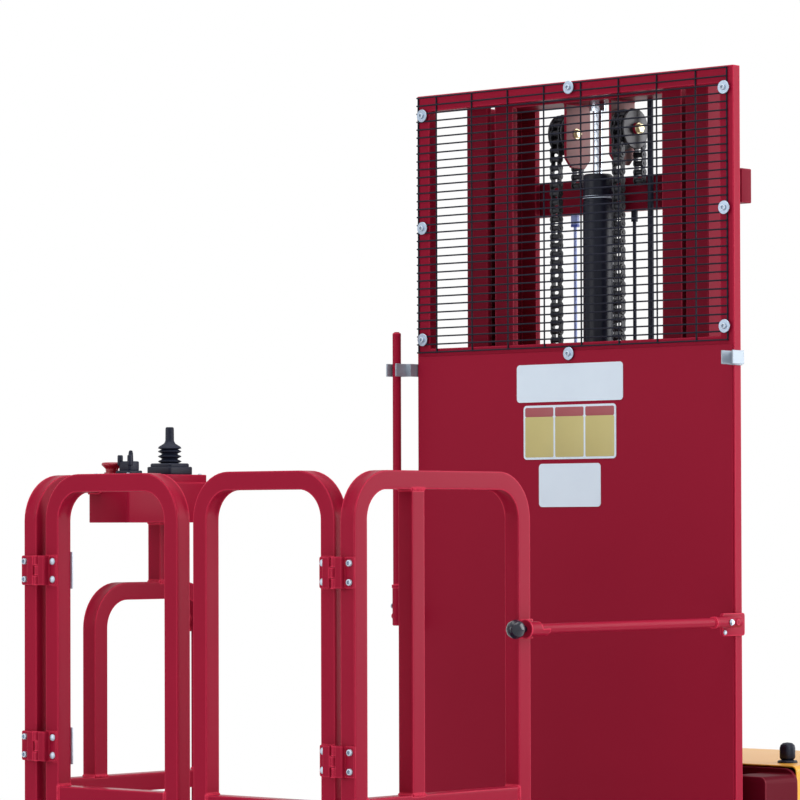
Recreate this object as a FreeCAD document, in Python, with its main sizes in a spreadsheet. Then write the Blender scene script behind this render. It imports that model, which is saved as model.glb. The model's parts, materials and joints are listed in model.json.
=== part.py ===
import FreeCAD
import Part
import os
import Sketcher

# Order picker truck: a mesh-guarded operator cage on a two-stage mast, with a power unit behind it.
# +X is the truck's right, -Y its cage end, +Z up; the origin is on the floor under the middle.

SIZES = [
    # Cage rails
    ("rail_tube", 30, "square tube of every rail and gate"),
    ("bend_round", 78, "outside radius of the bent tube"),
    ("cage_width", 754, "over the side frames"),
    ("cage_front", -760, "front face of the corner posts"),
    ("rail_top", 1450, "top of the upper rail"),
    ("mid_rail_top", 935, "top of the middle rail"),
    ("loop_top", 1266, "top of the low loop on the left"),
    ("middle_post_front", -624, "front face of the middle posts"),
    ("far_post_front", -361, "front face of the posts beside the entrances"),
    ("panel_rail_top", 885, "top of the fixed rail under the gates"),
    ("sheet_thick", 4, "pressed sheet"),
    # Deck
    ("floor_top", 350, "walking surface when lowered"),
    ("deck_over", 3, "deck beyond the side frames at each side"),
    ("deck_front", -765, "front edge of the deck"),
    ("deck_beam_high", 54, "height of the deck beams"),
    ("deck_beam_wide", 40, "width of the deck beams"),
    ("cross_beam_one", -420, "front face of the first cross beam"),
    ("cross_beam_two", -60, "front face of the second cross beam"),
    ("toe_high", 100, "height of the toe boards"),
    ("mat_inset", 50, "deck edge left bare beside the mat"),
    ("mat_thick", 4, "rubber mat"),
    # Gates
    ("gate_gap", 17, "between post and gate"),
    ("gate_middle", 18, "from the truck's middle to a gate"),
    ("gate_foot", 898, "underside of the gates"),
    ("gate_set", 5, "gates stand back from the post faces"),
    ("hinge_high", 50, "height of a spring hinge"),
    ("hinge_top_at", 1264, "underside of the upper hinges"),
    ("hinge_low_at", 969, "underside of the lower hinges"),
    ("hinge_flange", 4, "thickness of the hinge flanges"),
    ("hinge_proud", 11, "hinge cover proud of the post"),
    ("knuckle_round", 5, "radius of the hinge knuckle"),
    ("hinge_pin", 2.5, "radius of the hinge pin"),
    ("hinge_bore", 2.6, "radius of the bore around it"),
    ("hinge_outer", 41, "axis to the outer end of the fixed flange"),
    ("hinge_cover", 21, "axis to the end of the raised cover"),
    ("hinge_slot", 7, "axis to the cut of the cover halves"),
    ("hinge_leaf", 47, "axis to the end of the gate flange"),
    ("hinge_knuckle", 16, "height of one fixed knuckle"),
    ("hinge_play", 1, "gap between the knuckles"),
    # Mast guard
    ("plate_face", 240, "plane between guard tubes and back sheet"),
    ("plate_thick", 3, "back sheet"),
    ("sheet_inset", 3, "back sheet short of the guard frame at each side"),
    ("guard_set", 7, "guard frame short of the side frames at each side"),
    ("guard_top", 2172, "top of the guard frame"),
    ("guard_foot", 292, "underside of the guard frame"),
    ("guard_tube", 20, "depth of the guard tubes"),
    ("guard_tie_at", 1680, "middle of the tie behind the sheet's top edge"),
    ("low_tie_at", 1085, "middle of the low tie behind the sheet"),
    ("mesh_wire", 3, "mesh wire"),
    ("mesh_sunk", 0.5, "depth of the weld where two wires cross"),
    ("mesh_first", 2168, "middle of the top mesh wire"),
    ("mesh_row", 15, "distance between level wires"),
    ("mesh_left", 4, "left upright wire inside the guard frame's side"),
    ("mesh_start", 45, "left wire to the first evenly spaced one"),
    ("mesh_column", 87, "distance between upright wires"),
    ("mesh_right", 13, "right upright wire inside the guard frame's side"),
    ("sheet_foot", 352, "lower edge of the back sheet"),
    ("sheet_top", 1680, "upper edge of the back sheet"),
    # Blank plates on the back sheet
    ("label_thick", 1, "blank plates"),
    ("label_round", 7, "corner radius of the blank plates"),
    ("label_one_wide", 248, "width of the upper white plate"),
    ("label_one_low", 1588, "its lower edge"),
    ("label_one_high", 69, "its height"),
    ("label_two_wide", 216, "width of the yellow plate"),
    ("label_two_low", 1483, "its lower edge"),
    ("label_two_high", 99, "its height"),
    ("label_three_wide", 144, "width of the lower white plate"),
    ("label_three_low", 1396, "its lower edge"),
    ("label_three_high", 79, "its height"),
    # Console and controls
    ("console_over", 1, "console box beyond the side frame"),
    ("console_wide", 97, "width of the box"),
    ("console_front", -610, "front face of the box"),
    ("console_deep", 194, "its depth"),
    ("console_foot", 1369, "its underside"),
    ("console_top", 1452, "its top"),
    ("console_round", 4, "radius of its upright edges"),
    ("console_post_front", -467, "front face of the post under the console"),
    ("stick_in", 48, "joystick in from the console's outer side"),
    ("stick_back", 150, "joystick behind the console's front"),
    ("stick_base_wide", 56, "width of its square base"),
    ("stick_base_high", 12, "height of the base"),
    ("stick_base_round", 8, "corner radius of the base"),
    ("stick_step", 5, "second step of the base in from the first"),
    ("stick_step_high", 8, "height of the second step"),
    ("bellows_round", 20, "radius over the bellows rings"),
    ("bellows_neck", 15, "radius between the rings"),
    ("bellows_pitch", 8, "height of one ring"),
    ("skirt_round", 17, "radius of the skirt over the bellows"),
    ("skirt_rise", 4, "bellows to the skirt's widest place"),
    ("skirt_high", 12, "height of the skirt"),
    ("stick_round", 7.5, "radius of the grip"),
    ("stick_high", 27, "height of the grip"),
    ("switch_in", 73, "travel switch in from the console's outer side"),
    ("switch_back", 27, "travel switch behind the console's front"),
    ("switch_wide", 34, "width of its square case"),
    ("switch_high", 24, "height of the case"),
    ("switch_horn", 9, "width and height of its two horns"),
    ("lever_round", 4.5, "radius of the switch lever"),
    ("lever_high", 18, "height of the switch lever"),
    ("button_in", 33, "stop button in from the console's outer side"),
    ("button_back", 25, "stop button behind the console's front"),
    ("button_round", 18, "radius of the mushroom head"),
    ("button_neck", 13, "radius of its collar"),
    ("button_stalk", 7, "height of the collar"),
    ("button_flare", 1, "collar to the head's rim"),
    ("button_crown", 11, "radius of the head's flat top"),
    ("button_bevel", 4, "height of the head's bevel"),
    ("button_high", 17, "height over all"),
    # Drop bars
    ("bar_high", 1193, "height of the lowered bar"),
    ("bar_pivot_y", 205, "pivot of both bars"),
    ("bar_length", 534, "pivot to tip, just behind the far post"),
    ("bar_round", 8, "radius of the bar"),
    ("eye_long", 55, "pivot to the end of the eye block"),
    ("eye_back", 18, "eye block behind the pivot"),
    ("eye_wide", 20, "width of the eye block"),
    ("eye_high", 22, "height of the eye block"),
    ("pin_round", 6, "radius of the pivot pin"),
    ("pin_play", 0.3, "clearance round the pin"),
    ("pin_reach", 4, "pin beyond the eye block"),
    ("pin_head_round", 10, "radius of the pin's head"),
    ("pin_head_thick", 3, "thickness of the pin's head"),
    ("bracket_thick", 6, "pivot bracket"),
    ("bracket_front", 10, "bracket in front of the pivot"),
    ("bracket_below", 25, "bracket under the pivot"),
    ("bracket_above", 15, "bracket over the pivot"),
    ("bracket_round", 5, "radius of its corners"),
    ("receiver_pad", 5, "pad between post and receiver tube"),
    ("receiver_sunk", 2, "depth of the tube's weld in the pad"),
    ("receiver_pad_half", 16, "half height of the pad"),
    ("receiver_round", 12, "radius of the receiver tube"),
    ("receiver_bore", 9, "radius of its bore"),
    ("receiver_long", 50, "length with the open trough under the bar's tip"),
    ("receiver_flange", 3, "thickness of the flange at its front"),
    ("knob_round", 16, "ball knob of the latch"),
    ("knob_stand", 23, "ball middle in front of the flange"),
    ("knob_stem", 5, "radius of the knob's stem"),
    ("clip_low", 1643, "underside of the parking clips"),
    ("clip_high", 24, "height of a clip"),
    ("clip_thick", 3, "sheet of the clips"),
    ("clip_reach", 30, "how far the prongs stand forward"),
    ("clip_play", 2, "between prong and bar"),
    ("clip_web", 14, "bar middle to the web"),
    # Mast
    ("mast_front", 282, "front face of the outer uprights"),
    ("mast_deep", 90, "depth of the outer uprights"),
    ("outer_half", 283, "half width over the outer uprights"),
    ("outer_flange", 51, "width of their flanges"),
    ("flange_thick", 12, "thickness of the flanges"),
    ("web_thick", 10, "thickness of the webs"),
    ("mast_nest", 64, "inner uprights in from the outer ones"),
    ("inner_flange", 44, "flange width of the inner uprights"),
    ("inner_set", 6, "inner uprights set back from the outer flanges"),
    ("mast_foot", 150, "underside of the mast"),
    ("mast_top", 2150, "top of the outer uprights"),
    ("inner_foot", 186, "underside of the inner uprights"),
    ("inner_top", 2162, "top of the inner uprights"),
    ("foot_plate", 20, "thickness of the plate under the mast"),
    ("mast_bar_deep", 30, "depth of the outer cross bars"),
    ("mast_bar_over", 7, "cross bars beyond the outer uprights"),
    ("top_bar_low", 1942, "underside of the upper cross bar"),
    ("top_bar_high", 62, "its height"),
    ("low_bar_low", 940, "underside of the lower cross bar"),
    ("low_bar_high", 60, "its height"),
    ("crosshead_low", 2140, "underside of the crosshead"),
    ("tie_low", 200, "underside of the inner mast's low tie"),
    ("tie_high", 80, "height of the tie"),
    ("tie_thick", 8, "thickness of the tie"),
    ("tie_front", 356, "front face of the tie"),
    ("mast_roller_round", 32.6, "radius of the rollers in the outer uprights"),
    ("mast_roller_low", 262, "middle of the lower rollers"),
    ("mast_roller_top", 700, "middle of the upper rollers"),
    ("mast_roller_wide", 30, "width of these rollers"),
    ("mast_roller_gap", 4, "roller to the outer web"),
    ("mast_stub_round", 15, "radius of the stubs that carry them"),
    ("carriage_plate", 12, "side plates of the carriage"),
    ("carriage_nest", 57, "carriage sides in from the inner uprights"),
    ("carriage_low", 380, "underside of the carriage"),
    ("carriage_mid", 580, "underside of the cross plate behind the chain anchors"),
    ("carriage_top", 780, "top of the carriage, clear of the crosshead at full lift"),
    ("carriage_back", 352, "rear edge of the side plates"),
    ("carriage_roller_round", 26.6, "radius of the rollers in the inner uprights"),
    ("carriage_roller_low", 430, "middle of the lower rollers"),
    ("carriage_roller_top", 720, "middle of the upper rollers"),
    ("carriage_roller_wide", 28, "width of these rollers"),
    ("carriage_roller_gap", 3, "roller to the inner web"),
    ("carriage_cross", 8, "thickness of the carriage cross plates"),
    ("carriage_cross_high", 80, "height of the cross plates"),
    # Lift cylinder, pulleys, chains, hose and cable
    ("ram_y", 322, "middle of cylinder and pulleys"),
    ("barrel_round", 28, "radius of the barrel"),
    ("barrel_bore", 20, "radius of its bore"),
    ("barrel_top", 2007, "top of the gland"),
    ("gland_high", 14, "height of the gland"),
    ("ring_at", 1962, "groove of the ring under the gland"),
    ("ring_high", 5, "height of the groove"),
    ("ring_proud", 2, "depth of the groove"),
    ("rod_round", 9, "radius of the rod"),
    ("rod_play", 0.4, "clearance round the rod"),
    ("rod_foot", 560, "lower end of the rod"),
    ("collar_round", 16, "radius of the collar under the crosshead"),
    ("collar_high", 17, "height of the collar"),
    ("clamp_half", 20, "half width of the barrel's clamp"),
    ("pulley_x", 73, "middle of a pulley"),
    ("pulley_z", 2085, "height of the pulleys"),
    ("pulley_round", 37, "radius over the flanges"),
    ("pulley_groove", 24, "radius at the bottom of the pulley groove"),
    ("pulley_wide", 32, "width of a pulley"),
    ("pulley_groove_wide", 26, "width of its groove"),
    ("axle_round", 8, "radius of the pulley axles"),
    ("axle_head_round", 11, "radius of their heads"),
    ("axle_head", 5, "thickness of their heads"),
    ("axle_head_gap", 1, "head to the pulley"),
    ("cheek_x", 50, "inner face of the pulley cheek plates"),
    ("cheek_thick", 5, "thickness of the cheek plates"),
    ("cheek_front", 292, "front edge of the cheek plates"),
    ("cheek_deep", 70, "depth of the cheek plates"),
    ("cheek_low", 2022, "underside of the cheek plates"),
    ("cheek_cut", 16, "cut lower corners"),
    ("chain_pitch", 15.875, "pitch of 5/8 inch chain"),
    ("chain_wide", 24, "over the outer link plates"),
    ("chain_core", 12, "width between the link plates"),
    ("chain_deep", 14, "depth of the link plates"),
    ("chain_core_deep", 8, "depth of the core between them"),
    ("chain_link", 25, "length of one outer link plate"),
    ("chain_links", 46, "outer links on the front strand"),
    ("chain_play", 0.3, "between the chain and the pulley groove"),
    ("rear_links", 3, "outer links on the rear strand"),
    ("anchor_ear", 6, "thickness of a chain anchor's ears"),
    ("anchor_gap", 17, "chain middle to the inner face of an ear"),
    ("anchor_low", 590, "underside of the chain anchors"),
    ("anchor_high", 60, "height of the chain anchors"),
    ("hose_round", 5.5, "radius of the lift hose"),
    ("hose_from_pulley", 32, "hose out from the pulley's middle"),
    ("hose_y", 344, "depth at which the hose runs"),
    ("hose_block", 22, "width of the block at the hose's foot"),
    ("cable_round", 3, "radius of the sensor cable"),
    ("cable_x", -105, "place of the sensor cable"),
    ("cable_y", 385, "depth at which it runs"),
    ("plug_round", 8, "radius of its plugs"),
    ("plug_high", 22, "height of its plugs"),
    # Chassis
    ("truck_rear", 800, "rear face of the chassis"),
    ("truck_front", -800, "front face of the front beam"),
    ("base_half", 395, "half width of the rear box"),
    ("base_low", 70, "underside of the rear box"),
    ("base_top", 260, "top of the rear box"),
    ("base_round", 25, "radius of its rear corners"),
    ("seat_over", 47, "mast seat beyond the outer uprights"),
    ("seat_front", 262, "front of the mast seat"),
    ("seat_low", 100, "underside of the mast seat"),
    ("seat_cheek", 30, "thickness of the seat's cheeks"),
    ("seat_cheek_front", 190, "front of the cheeks"),
    ("rail_lap", 5, "rails sunk in the seat's cheeks"),
    ("side_rail_wide", 80, "width of a chassis rail"),
    ("side_rail_low", 195, "underside of the rails"),
    ("side_rail_high", 70, "height of the rails"),
    ("side_rail_rear", 270, "where the rails end"),
    ("front_beam_deep", 60, "depth of the front beam"),
    ("front_beam_over", 35, "front beam beyond the rails"),
    ("castor_plate", 8, "castor head plates"),
    ("castor_plate_long", 110, "length of a head plate"),
    ("castor_hole", 4.5, "radius of the head plate's holes"),
    ("castor_hole_x", 56, "hole spacing across"),
    ("castor_hole_y", 84, "hole spacing along"),
    ("lug_thick", 12, "lashing lugs"),
    ("lug_long", 50, "length of a lug"),
    ("lug_high", 50, "height of a lug"),
    ("lug_hole", 11, "radius of the lug's hole"),
    ("lug_hole_down", 27.5, "hole under the rail"),
    ("lug_in", 25, "lug's outer face out from the rail's inner side"),
    ("cut_past", 30, "how far a cutting tool reaches past a face"),
    # Power unit
    ("bulkhead_face", 390, "front face of bulkhead and rear box"),
    ("bulkhead_thick", 6, "bulkhead sheet"),
    ("bulkhead_top", 928, "top of the bulkhead"),
    ("bulkhead_set", 5, "bulkhead short of the rear box at each side"),
    ("bulkhead_round", 25, "radius of its upper corners"),
    ("side_box_gap", 17, "side boxes clear of the outer uprights"),
    ("side_box_front", 300, "front face of the side boxes"),
    ("side_box_low", 500, "underside of the side boxes"),
    ("side_box_drop", 10, "their top under the bulkhead's"),
    ("side_box_round", 12.5, "radius of their upper corners"),
    ("hood_set", 7, "hood short of the rear box at each side"),
    ("hood_rear_set", 8, "hood short of the rear box behind"),
    ("hood_over", 5, "hood higher than the bulkhead"),
    ("hood_round", 30, "radius of the hood's upright corners"),
    ("hood_edge", 12, "radius of the hood's top edge"),
    ("hood_wall", 3, "sheet of the hood"),
    ("vent_front", 520, "front end of the hood's side vents"),
    ("vent_long", 150, "length of a side vent"),
    ("vent_low", 640, "lowest side vent"),
    ("vent_high", 7, "height of a vent"),
    ("vent_pitch", 18, "distance between vents"),
    ("vents", 9, "vents on each side"),
    ("cap_in", 66, "filler cap in from the hood's side"),
    ("cap_back", 70, "filler cap behind the bulkhead's face"),
    ("cap_round", 15, "radius of the cap"),
    ("cap_neck", 12, "radius under the cap"),
    ("cap_crown", 9, "radius of the cap's flat top"),
    ("cap_high", 32, "height to the cap's shoulder"),
    ("cap_flange_round", 18, "radius of the cap's flange"),
    ("cap_flange", 5, "thickness of the cap's flange"),
    ("battery_half", 250, "half width of the battery"),
    ("battery_front", 430, "front of the battery"),
    ("battery_long", 320, "length of the battery"),
    ("battery_high", 350, "height of the battery"),
    # Drive wheels
    ("drive_round", 115, "radius of a drive wheel"),
    ("drive_wide", 70, "width of its tyre"),
    ("drive_set", 48, "middle of a drive wheel in from the rear box's side"),
    ("drive_y", 560, "drive axle"),
    ("drive_rim", 74, "radius of the wheel centre"),
    ("drive_dish", 12, "depth of its dish"),
    ("drive_hub", 32, "radius of its hub"),
    ("tyre_edge", 8, "bevel of the tyres"),
    ("drive_axle", 12, "radius of the stub axle"),
    ("drive_play", 0.3, "clearance round an axle"),
    ("drive_flange", 44, "radius of the axle's flange"),
    ("drive_flange_thick", 8, "thickness of the flange"),
    ("drive_nut", 20, "radius of the axle nut"),
    ("drive_nut_high", 8, "height of the axle nut"),
    ("arch_side", 12, "arch wall clear of the tyre"),
    ("arch_room", 20, "arch clear of the tread"),
    # Castors
    ("castor_y", -590, "swivel axis"),
    ("castor_trail", 40, "axle behind the swivel axis"),
    ("castor_round", 75, "radius of a castor wheel"),
    ("castor_wide", 44, "width of its tyre"),
    ("castor_rim", 50, "radius of the wheel centre"),
    ("castor_hub", 18, "radius of its hub"),
    ("castor_dish", 8, "depth of its dish"),
    ("castor_axle", 8, "radius of the castor axles"),
    ("fork_in", 27, "wheel middle to a fork leg"),
    ("fork_thick", 6, "thickness of a fork leg"),
    ("fork_axle_over", 4, "axle beyond the fork legs"),
    ("fork_crown", 8, "thickness of the fork's crown"),
    ("fork_crown_low", 156, "underside of the crown"),
    ("fork_crown_round", 36, "radius of the crown"),
    ("swivel_round", 30, "radius of the swivel bearing"),
    ("fork_shoulder", 24, "half width of a leg at the crown"),
    ("fork_foot", 16, "half width of a leg at the axle"),
]


class Size:
    """A length that knows both its number and its formula in the sheet."""

    def __init__(self, text, value):
        self.text = text
        self.value = float(value)

    def joined(self, other, sign, value):
        """The formula of two sizes joined by one sign, with its number."""
        right = other.text if isinstance(other, Size) else repr(other)
        return Size("(%s %s %s)" % (self.text, sign, right), value)

    def __add__(self, other):
        return self.joined(other, "+", self.value + number(other))

    def __sub__(self, other):
        return self.joined(other, "-", self.value - number(other))

    def __mul__(self, other):
        return self.joined(other, "*", self.value * number(other))

    def __truediv__(self, other):
        return self.joined(other, "/", self.value / number(other))

    def __neg__(self):
        return Size("(0 - %s)" % self.text, -self.value)


def number(value):
    """The plain number of a Size or of a number."""
    return value.value if isinstance(value, Size) else float(value)


class Sizes:
    """Every named size of the sheet as an attribute."""


doc = FreeCAD.newDocument("OrderPicker")
sheet = doc.addObject("Spreadsheet::Sheet", "Sizes")
s = Sizes()
for row, (alias, value, note) in enumerate(SIZES, 1):
    sheet.set("A%d" % row, alias)
    sheet.set("B%d" % row, str(value))
    sheet.setAlias("B%d" % row, alias)
    sheet.set("C%d" % row, note)
    setattr(s, alias, Size("Sizes." + alias, value))
doc.recompute()
ZERO = s.rail_tube * 0

NODES = []


def keep(label, piece):
    """Mark a finished piece as one node of the truck."""
    piece.Label = label
    NODES.append(piece)
    return piece


def bind(piece, path, size):
    """Tie one property of a piece to the sheet."""
    piece.setExpression(path, size.text)


def block(name, x, y, z):
    """A plain block between two sizes along each axis."""
    piece = doc.addObject("Part::Box", name)
    for path, side, span in (("x", "Length", x), ("y", "Width", y), ("z", "Height", z)):
        bind(piece, "Placement.Base." + path, span[0])
        bind(piece, side, span[1] - span[0])
    return piece


TURNS = {
    "X": FreeCAD.Rotation(FreeCAD.Vector(0, 1, 0), 90),
    "Y": FreeCAD.Rotation(FreeCAD.Vector(1, 0, 0), -90),
    "Z": FreeCAD.Rotation(),
}


def round_bar(name, axis, start, radius, length):
    """A cylinder from its start point along one axis."""
    piece = doc.addObject("Part::Cylinder", name)
    piece.Placement = FreeCAD.Placement(FreeCAD.Vector(0, 0, 0), TURNS[axis])
    for path, size in zip("xyz", start):
        bind(piece, "Placement.Base." + path, size)
    bind(piece, "Radius", radius)
    bind(piece, "Height", length)
    return piece


def fuse(name, pieces):
    """One solid of several."""
    piece = doc.addObject("Part::MultiFuse", name)
    piece.Shapes = pieces
    piece.Refine = True
    return piece


def cut(name, base, tools):
    """A solid with others taken away."""
    piece = doc.addObject("Part::Cut", name)
    piece.Base = base
    piece.Tool = tools[0] if len(tools) == 1 else fuse(name + "_tools", tools)
    piece.Refine = True
    return piece


def mirrored(name, source):
    """The same piece on the other side of the truck."""
    piece = doc.addObject("Part::Mirroring", name)
    piece.Source = source
    piece.Normal = FreeCAD.Vector(1, 0, 0)
    piece.Base = FreeCAD.Vector(0, 0, 0)
    return piece


def both_sides(name, source):
    """A piece and its twin across the middle, as one compound."""
    piece = doc.addObject("Part::Compound", name)
    piece.Links = [source, mirrored(name + "_twin", source)]
    return piece


PLANES = {"X": "YZ_Plane", "Y": "XZ_Plane", "Z": "XY_Plane"}


def origin_plane(body, axis):
    """The body's own plane across an axis."""
    return [f for f in body.Origin.OriginFeatures if f.Role == PLANES[axis]][0]


def new_sketch(body, name, axis, level):
    """A sketch across an axis at a level; on the Y plane the sketch looks along -Y."""
    sketch = body.newObject("Sketcher::SketchObject", name)
    sketch.AttachmentSupport = [(origin_plane(body, axis), "")]
    sketch.MapMode = "FlatFace"
    bind(sketch, "AttachmentOffset.Base.z", -level if axis == "Y" else level)
    return sketch


def outline(sketch, points):
    """A closed outline through points, each held by its two sizes."""
    first = sketch.GeometryCount
    count = len(points)
    for i in range(count):
        a, b = points[i], points[(i + 1) % count]
        start = FreeCAD.Vector(number(a[0]), number(a[1]), 0)
        end = FreeCAD.Vector(number(b[0]), number(b[1]), 0)
        sketch.addGeometry(Part.LineSegment(start, end), False)
    for i in range(count):
        after = first + (i + 1) % count
        sketch.addConstraint(Sketcher.Constraint("Coincident", first + i, 2, after, 1))
    for i, point in enumerate(points):
        for kind, size in zip(("DistanceX", "DistanceY"), point):
            rule = Sketcher.Constraint(kind, -1, 1, first + i, 1, number(size))
            index = sketch.addConstraint(rule)
            bind(sketch, "Constraints[%d]" % index, size)


def span(u, v):
    """The four corners of an upright rectangle."""
    return [(u[0], v[0]), (u[1], v[0]), (u[1], v[1]), (u[0], v[1])]


def pad(body, name, axis, level, depth, outlines):
    """Outlines made solid from a level on, towards plus along the axis."""
    sketch = new_sketch(body, name + "_outline", axis, level)
    for points in outlines:
        outline(sketch, points)
    feature = body.newObject("PartDesign::Pad", name)
    feature.Profile = sketch
    bind(feature, "Length", depth)
    feature.Reversed = axis == "Y"
    return feature


def edges_at(shape, axis, corners):
    """Names of the edges that run along an axis through given corners."""
    names = []
    along = "XYZ".index(axis)
    across = [i for i in range(3) if i != along]
    for index, edge in enumerate(shape.Edges, 1):
        box = edge.BoundBox
        low = (box.XMin, box.YMin, box.ZMin)
        high = (box.XMax, box.YMax, box.ZMax)
        if high[along] - low[along] < 1:
            continue
        for u, v in corners:
            wanted = (number(u), number(v))
            near = [abs(low[i] - w) + abs(high[i] - w) for i, w in zip(across, wanted)]
            if max(near) < 0.01:
                names.append("Edge%d" % index)
    return names


def rounded(body, name, axis, corners, radius):
    """Fillets on the edges along an axis at given corners of the last feature."""
    doc.recompute()
    base = body.Tip
    names = edges_at(base.Shape, axis, corners)
    if len(names) < len(corners):
        raise RuntimeError("corners not found for " + name)
    feature = body.newObject("PartDesign::Fillet", name)
    feature.Base = (base, names)
    bind(feature, "Radius", radius)
    return feature


def turned(label, axis_point, axis, profile):
    """A solid of revolution; profile pairs are (along the axis, radius)."""
    body = doc.addObject("PartDesign::Body", label)
    sketch = body.newObject("Sketcher::SketchObject", label + "_profile")
    sketch.AttachmentSupport = [(origin_plane(body, "Z"), "")]
    sketch.MapMode = "FlatFace"
    outline(sketch, [(along, radius) for along, radius in profile])
    feature = body.newObject("PartDesign::Revolution", label + "_turned")
    feature.Profile = sketch
    feature.ReferenceAxis = (sketch, ["H_Axis"])
    feature.Angle = 360
    turns = {
        "X": FreeCAD.Rotation(),
        "Y": FreeCAD.Rotation(FreeCAD.Vector(0, 0, 1), 90),
        "Z": FreeCAD.Rotation(FreeCAD.Vector(0, 1, 0), -90),
    }
    body.Placement = FreeCAD.Placement(FreeCAD.Vector(0, 0, 0), turns[axis])
    for path, size in zip("xyz", axis_point):
        bind(body, "Placement.Base." + path, size)
    return body


# Shared lines of the cage
side_out = s.cage_width / 2
side_in = side_out - s.rail_tube
post_back = s.cage_front + s.rail_tube
middle_back = s.middle_post_front + s.rail_tube
far_back = s.far_post_front + s.rail_tube
mid_low = s.mid_rail_top - s.rail_tube
rail_low = s.rail_top - s.rail_tube
loop_low = s.loop_top - s.rail_tube
bend_in = s.bend_round - s.rail_tube
guard_back = s.plate_face + s.guard_tube
guard_half = side_out - s.guard_set
console_left = -side_out - s.console_over
bar_x = side_out + s.receiver_pad - s.receiver_sunk + s.receiver_round
inner_half = s.outer_half - s.mast_nest
carriage_half = inner_half - s.carriage_nest
seat_half = s.outer_half + s.seat_over
rail_out = seat_half - s.seat_cheek + s.rail_lap
rail_in = rail_out - s.side_rail_wide
castor_x = (rail_in + rail_out) / 2
hood_top = s.bulkhead_top + s.hood_over
hood_half = s.base_half - s.hood_set
bulkhead_half = s.base_half - s.bulkhead_set

# Right side frame: one bent hoop with a middle rail and a middle post
body = doc.addObject("PartDesign::Body", "side_frame_right")
hoop = [
    (s.cage_front, s.floor_top), (post_back, s.floor_top), (post_back, mid_low),
    (s.far_post_front, mid_low), (s.far_post_front, s.floor_top), (far_back, s.floor_top),
    (far_back, s.rail_top), (s.cage_front, s.rail_top),
]
near_hole = span((post_back, s.middle_post_front), (s.mid_rail_top, rail_low))
far_hole = span((middle_back, s.far_post_front), (s.mid_rail_top, rail_low))
pad(body, "right_hoop", "X", side_in, s.rail_tube, [hoop, near_hole, far_hole])
rounded(body, "right_bends", "X", [(s.cage_front, s.rail_top), (far_back, s.rail_top)], s.bend_round)
rounded(body, "right_bends_in", "X", [(post_back, rail_low), (s.far_post_front, rail_low)], bend_in)
keep("side_frame_right", body)

# Left side frame: corner post with its top bar to the console, and the low loop behind it
body = doc.addObject("PartDesign::Body", "side_frame_left")
console_post_back = s.console_post_front + s.rail_tube
left_outline = [
    (s.cage_front, s.floor_top), (post_back, s.floor_top), (post_back, mid_low),
    (s.far_post_front, mid_low), (s.far_post_front, s.floor_top), (far_back, s.floor_top),
    (far_back, s.loop_top), (console_post_back, s.loop_top),
    (console_post_back, s.console_foot), (s.console_post_front, s.console_foot),
    (s.console_post_front, s.loop_top), (s.middle_post_front, s.loop_top),
    (s.middle_post_front, s.mid_rail_top), (post_back, s.mid_rail_top),
    (post_back, rail_low), (s.console_front, rail_low),
    (s.console_front, s.rail_top), (s.cage_front, s.rail_top),
]
loop_hole = span((middle_back, s.far_post_front), (s.mid_rail_top, loop_low))
pad(body, "left_tubes", "X", -side_out, s.rail_tube, [left_outline, loop_hole])
rounded(body, "left_bends", "X", [
    (s.cage_front, s.rail_top), (far_back, s.loop_top), (s.middle_post_front, s.loop_top),
], s.bend_round)
rounded(body, "left_bends_in", "X", [
    (post_back, rail_low), (s.far_post_front, loop_low), (middle_back, loop_low),
], bend_in)
keep("side_frame_left", body)

# Fixed lower front: a rail over a sheet panel
front_rail = block("front_rail", (-side_in, side_in), (s.cage_front, post_back),
                   (s.panel_rail_top - s.rail_tube, s.panel_rail_top))
sheet_front = s.cage_front + s.rail_tube / 2
front_sheet = block("front_sheet", (-side_in, side_in), (sheet_front, sheet_front + s.sheet_thick),
                    (s.floor_top, s.panel_rail_top - s.rail_tube))
keep("front_panel", fuse("front_panel", [front_rail, front_sheet]))

# Deck: beams under a plate, with toe boards along both sides
deck_half = side_out + s.deck_over
plate_low = s.floor_top - s.sheet_thick
beam_low = plate_low - s.deck_beam_high
deck_parts = [
    block("deck_plate", (-deck_half, deck_half), (s.deck_front, s.plate_face), (plate_low, s.floor_top)),
    block("deck_front_beam", (-deck_half, deck_half),
          (s.deck_front, s.deck_front + s.deck_beam_wide), (beam_low, plate_low)),
    block("deck_rear_beam", (-deck_half, deck_half),
          (s.plate_face - s.deck_beam_wide, s.plate_face), (beam_low, plate_low)),
]
for label, front in (("one", s.cross_beam_one), ("two", s.cross_beam_two)):
    deck_parts.append(block("deck_cross_" + label, (-deck_half, deck_half),
                            (front, front + s.deck_beam_wide), (beam_low, plate_low)))
toe_middle = side_out - s.rail_tube / 2
for label, side in (("left", -1), ("right", 1)):
    outer = (-deck_half, s.deck_beam_wide - deck_half)
    toe = (-toe_middle, s.sheet_thick - toe_middle)
    if side > 0:
        outer = (deck_half - s.deck_beam_wide, deck_half)
        toe = (toe_middle - s.sheet_thick, toe_middle)
    deck_parts.append(block("deck_beam_" + label, outer, (s.deck_front, s.plate_face),
                            (beam_low, plate_low)))
    deck_parts.append(block("toe_" + label, toe, (post_back, s.far_post_front),
                            (s.floor_top, s.floor_top + s.toe_high)))
keep("platform_deck", fuse("platform_deck", deck_parts))
keep("deck_mat", block("deck_mat", (s.mat_inset - deck_half, deck_half - s.mat_inset),
                       (s.deck_front + s.mat_inset, s.plate_face - s.mat_inset),
                       (s.floor_top, s.floor_top + s.mat_thick)))

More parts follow.
